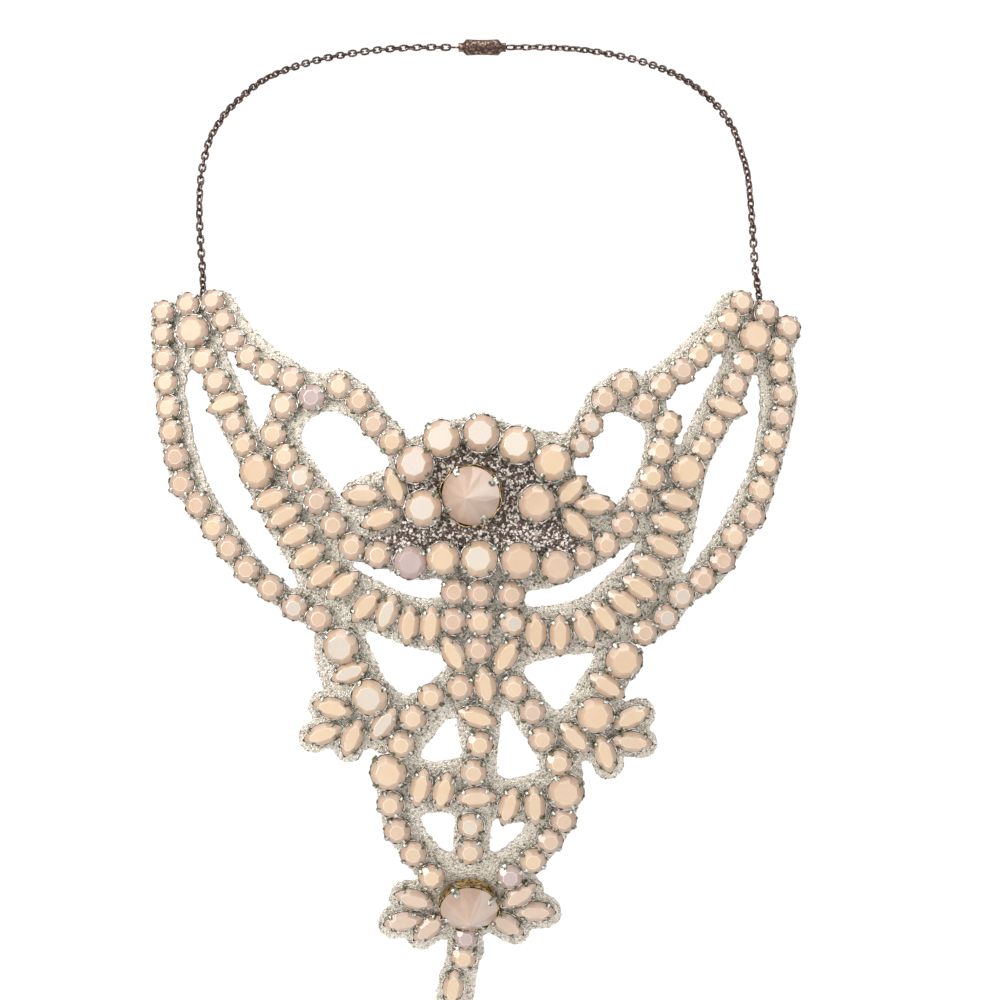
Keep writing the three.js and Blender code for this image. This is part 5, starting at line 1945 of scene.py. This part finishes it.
@dataclass
class CableChain:
    """One side's chain: oval links, each turned a quarter from the last."""

    side: str
    link_long: float = 3.25
    link_wide: float = 2.1
    wire: float = 0.57
    lead: float = 4.4
    turn: float = 12.0
    wander: float = 24.0
    wander_step: float = 0.21
    clasp_gap: float = 9.2
    clasp_end: float = 6.8
    clasp_level: float = 2.2
    curve_steps: int = 40
    sight: float = 0.4

    def link_master(self) -> bpy.types.Object:
        """Makes one oval link, its length along X."""
        Bench.clear()
        round_radius = (self.link_wide - self.wire) / 2
        bpy.ops.mesh.primitive_torus_add(
            major_segments=12, minor_segments=6, major_radius=round_radius,
            minor_radius=self.wire / 2)
        link = Bench.take("master_link")
        half = (self.link_long - self.link_wide) / 2
        with Bench.editing(link, "VERT"):
            for way in (1, -1):
                Bench.pick(link, "verts", lambda corner, w=way: corner.co.x * w > 0.05)
                bpy.ops.transform.translate(value=(way * half, 0, 0))
        Bench.smooth(link)
        return link

    def route(self) -> np.ndarray:
        """Lists close points along the chain's middle line, in millimetres."""
        sign = -1 if self.side == "left" else 1
        points = [(x, -forward, -down) for x, forward, down in CHAIN_ROUTES[self.side]]
        points += [(sign * x, self.clasp_level, 0.0) for x in (self.clasp_gap, self.clasp_end)]
        line = np.array(points, float)
        line[0] += (line[0] - line[1]) / np.linalg.norm(line[0] - line[1]) * self.lead
        ends = np.vstack([2 * line[0] - line[1], line, 2 * line[-1] - line[-2]])
        found = [
            curve_point(a, b, c, d, t) for a, b, c, d in zip(ends, ends[1:], ends[2:], ends[3:])
            for t in np.linspace(0, 1, self.curve_steps, endpoint=False)]
        return np.array([*found, line[-1]])

    def build(self) -> bpy.types.Object:
        """Lays the links along the route.

        Returns:
            The chain.
        """
        line = self.route()
        lengths = np.concatenate([[0], np.cumsum(np.linalg.norm(np.diff(line, axis=0), axis=1))])
        pitch = self.link_long - 2 * self.wire
        count = round(lengths[-1] / pitch)
        stops = (np.arange(count) + 0.5) * lengths[-1] / count
        master = self.link_master()
        places = []
        for i, stop in enumerate(stops):
            back, here, ahead = (
                Vector(np.interp(stop + shift, lengths, line[:, k]) for k in range(3))
                for shift in (-self.sight, 0, self.sight))
            along = (ahead - back).normalized()
            side = along.cross(Vector((0.2, 0.3, 1))).normalized()
            turned = Matrix((along, side, along.cross(side))).transposed().to_4x4()
            lean = self.turn + self.wander * math.sin(i * self.wander_step) + 90 * (i % 2)
            twist = Matrix.Rotation(math.radians(lean), 4, "X")
            places.append(Matrix.Translation(here * MM) @ turned @ twist @ Matrix.Scale(MM, 4))
        chain = Bench.scatter(master, f"cable_chain_{self.side}", places, [0.5] * count)
        Bench.drop(master)
        Bench.smooth(chain)
        chain.data.materials.append(COPPER.material())
        log.info("chain %s: %.1f mm long, %d links", self.side, lengths[-1], count)
        return dress(chain, CHAIN_SLOT, f"chain_{self.side}")


@dataclass
class Clasp:
    """The barrel clasp at the nape, with a grooved middle and a neck at each end."""

    length: float = 13.0
    width: float = 4.4
    neck_length: float = 2.2
    neck_width: float = 2.4
    shoulder_share: float = 0.4
    mouth_wall: float = 0.5
    mouth_depth: float = 0.6
    grooves: tuple[float, ...] = (-1.2, -0.4, 0.4, 1.2)
    groove_share: float = 0.93
    bevel: float = 0.12
    soft_angle: float = 35.0
    level: float = 2.2

    def build(self) -> bpy.types.Object:
        """Makes the barrel from a cylinder, with stepped ends and a seam round its middle.

        Returns:
            The clasp.
        """
        Bench.clear()
        barrel = self.length - 2 * self.neck_length
        bpy.ops.mesh.primitive_cylinder_add(
            vertices=28, radius=self.width / 2, depth=barrel, rotation=(0, math.pi / 2, 0))
        clasp = Bench.take("barrel_clasp")
        shrink = self.neck_width / self.width
        shoulder = self.neck_length * self.shoulder_share
        with Bench.editing(clasp):
            for way in (1, -1):
                Bench.pick(clasp, "faces", looks(0, way))
                bpy.ops.mesh.extrude_region_move(
                    TRANSFORM_OT_translate={"value": (way * shoulder, 0, 0)})
                bpy.ops.transform.resize(value=(1, shrink, shrink))
                bpy.ops.mesh.extrude_region_move(
                    TRANSFORM_OT_translate={"value": (way * (self.neck_length - shoulder), 0, 0)})
                bpy.ops.mesh.inset(thickness=self.mouth_wall)
                bpy.ops.transform.translate(value=(-way * self.mouth_depth, 0, 0))
            for place in self.grooves:
                bpy.ops.mesh.select_all(action="SELECT")
                bpy.ops.mesh.bisect(plane_co=(place, 0, 0), plane_no=(1, 0, 0))
            near, far = self.grooves[2:]
            Bench.pick(clasp, "faces", lambda face: near < abs(face.calc_center_median().x) < far)
            bpy.ops.transform.resize(value=(1, self.groove_share, self.groove_share))
            bpy.ops.mesh.select_all(action="SELECT")
            bpy.ops.mesh.normals_make_consistent(inside=False)
            bpy.ops.transform.resize(value=(MM, MM, MM))
            bpy.ops.transform.translate(value=(0, self.level * MM, 0))
        Bench.apply(clasp, "BEVEL", width=self.bevel * MM, segments=2, limit_method="ANGLE")
        Bench.smooth(clasp, self.soft_angle)
        clasp.data.materials.append(COPPER.material())
        return dress(clasp, CHAIN_SLOT, "clasp")


# Studio


@dataclass
class SoftBox:
    """A lamp with an even, soft face, square or tall."""

    name: str
    place: tuple[float, float, float]
    size: float
    power: float
    tall: float = 1.0

    def build(self, aim: Vector) -> None:
        """Sets the lamp up, turned to a point."""
        lamp = bpy.data.lights.new(self.name, "AREA")
        lamp.shape = "RECTANGLE"
        lamp.size = self.size
        lamp.size_y = self.size * self.tall
        lamp.energy = self.power
        stand = Bench.put(self.name, lamp)
        stand.location = self.place
        stand.rotation_euler = (aim - Vector(self.place)).to_track_quat("-Z", "Y").to_euler()


@dataclass
class Studio:
    """The floor, the soft light and the camera."""

    floor_level: float = -0.9
    floor_size: float = 6.0
    camera_place: tuple[float, float, float] = (0.0048, -1.012, -0.1224)
    half_view: float = 120.0 / 900.0
    surround: tuple[float, float] = (0.32, 0.7)
    backdrop_strength: float = 1.05
    aim: tuple[float, float, float] = (0.0, -0.1, -0.12)
    flash_distance: float = 1.25
    flash_size: float = 0.16
    flash_power: float = 0.03
    lamps: tuple[SoftBox, ...] = (
        SoftBox("key_light", (-0.9, -1.35, 0.85), 1.7, 15.0),
        SoftBox("fill_light", (1.2, -1.2, 0.25), 1.4, 7.5),
        SoftBox("top_light", (0.1, -0.35, 1.2), 0.8, 6.0),
        SoftBox("side_flash_box", (-1.05, -0.80, 0.05), 0.34, 6.0, tall=2.6),
    )

    def build(self, box_directions: Sequence[Direction]) -> None:
        """Sets up the floor, the lamps, the surround and the camera.

        Args:
            box_directions: Where the small boxes stand that flash in the stones' tables.
        """
        Bench.clear()
        bpy.ops.mesh.primitive_grid_add(
            x_subdivisions=4, y_subdivisions=4, size=self.floor_size,
            location=(0, 0, self.floor_level))
        floor = Bench.take("studio_floor")
        floor.data.materials.append(FLOOR.material())
        aim = Vector(self.aim)
        for lamp in self.lamps:
            lamp.build(aim)
        for i, direction in enumerate(box_directions):
            place = aim + Vector(direction).normalized() * self.flash_distance
            box = SoftBox(f"flash_box_{i + 1}", tuple(place), self.flash_size, self.flash_power)
            box.build(aim)
        self.world()
        self.camera()

    def world(self) -> None:
        """Makes the surround: white to the camera, and a soft grey that is lighter above."""
        world = bpy.data.worlds.new("studio_surround")
        bpy.context.scene.world = world
        world.use_nodes = True
        board = NodeBoard(world.node_tree)
        where = board.add("ShaderNodeTexCoord").outputs["Generated"]
        parts = board.add("ShaderNodeSeparateXYZ", {0: where})
        level = board.spread(parts.outputs["Z"], -0.6, 0.8, *self.surround)
        soft = board.add("ShaderNodeBackground", {
            "Color": paint((0.97, 0.98, 1.0)), "Strength": level})
        white = board.add("ShaderNodeBackground", {
            "Color": paint((1, 1, 1)), "Strength": self.backdrop_strength})
        seen = board.add("ShaderNodeLightPath").outputs["Is Camera Ray"]
        mixed = board.add("ShaderNodeMixShader", {
            0: seen, 1: soft.outputs[0], 2: white.outputs[0]})
        board.add("ShaderNodeOutputWorld", {"Surface": mixed.outputs[0]})

    def camera(self) -> None:
        """Sets the camera at the photograph's place and angle."""
        lens = bpy.data.cameras.new("camera")
        lens.sensor_width = 36.0
        lens.lens = 18.0 / self.half_view
        lens.clip_start, lens.clip_end = 0.01, 50
        stand = Bench.put("camera", lens)
        stand.location = self.camera_place
        stand.rotation_euler = (math.pi / 2, 0, 0)
        bpy.context.scene.camera = stand
        bpy.context.scene.view_settings.view_transform = "Standard"


def main() -> None:
    """Builds every piece of the necklace and the studio."""
    logging.basicConfig(level=logging.INFO, format="%(name)s %(message)s")
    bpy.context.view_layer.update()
    sparkle_effect()
    patina_effect()
    setter = StoneSetter()
    setter.build()
    chains = [CableChain(side).build() for side in CHAIN_ROUTES]
    Backing(setter).build(chains)
    EyeGround(setter).build()
    Clasp().build()
    Studio().build(setter.box_directions)


if __name__ == "__main__":
    main()
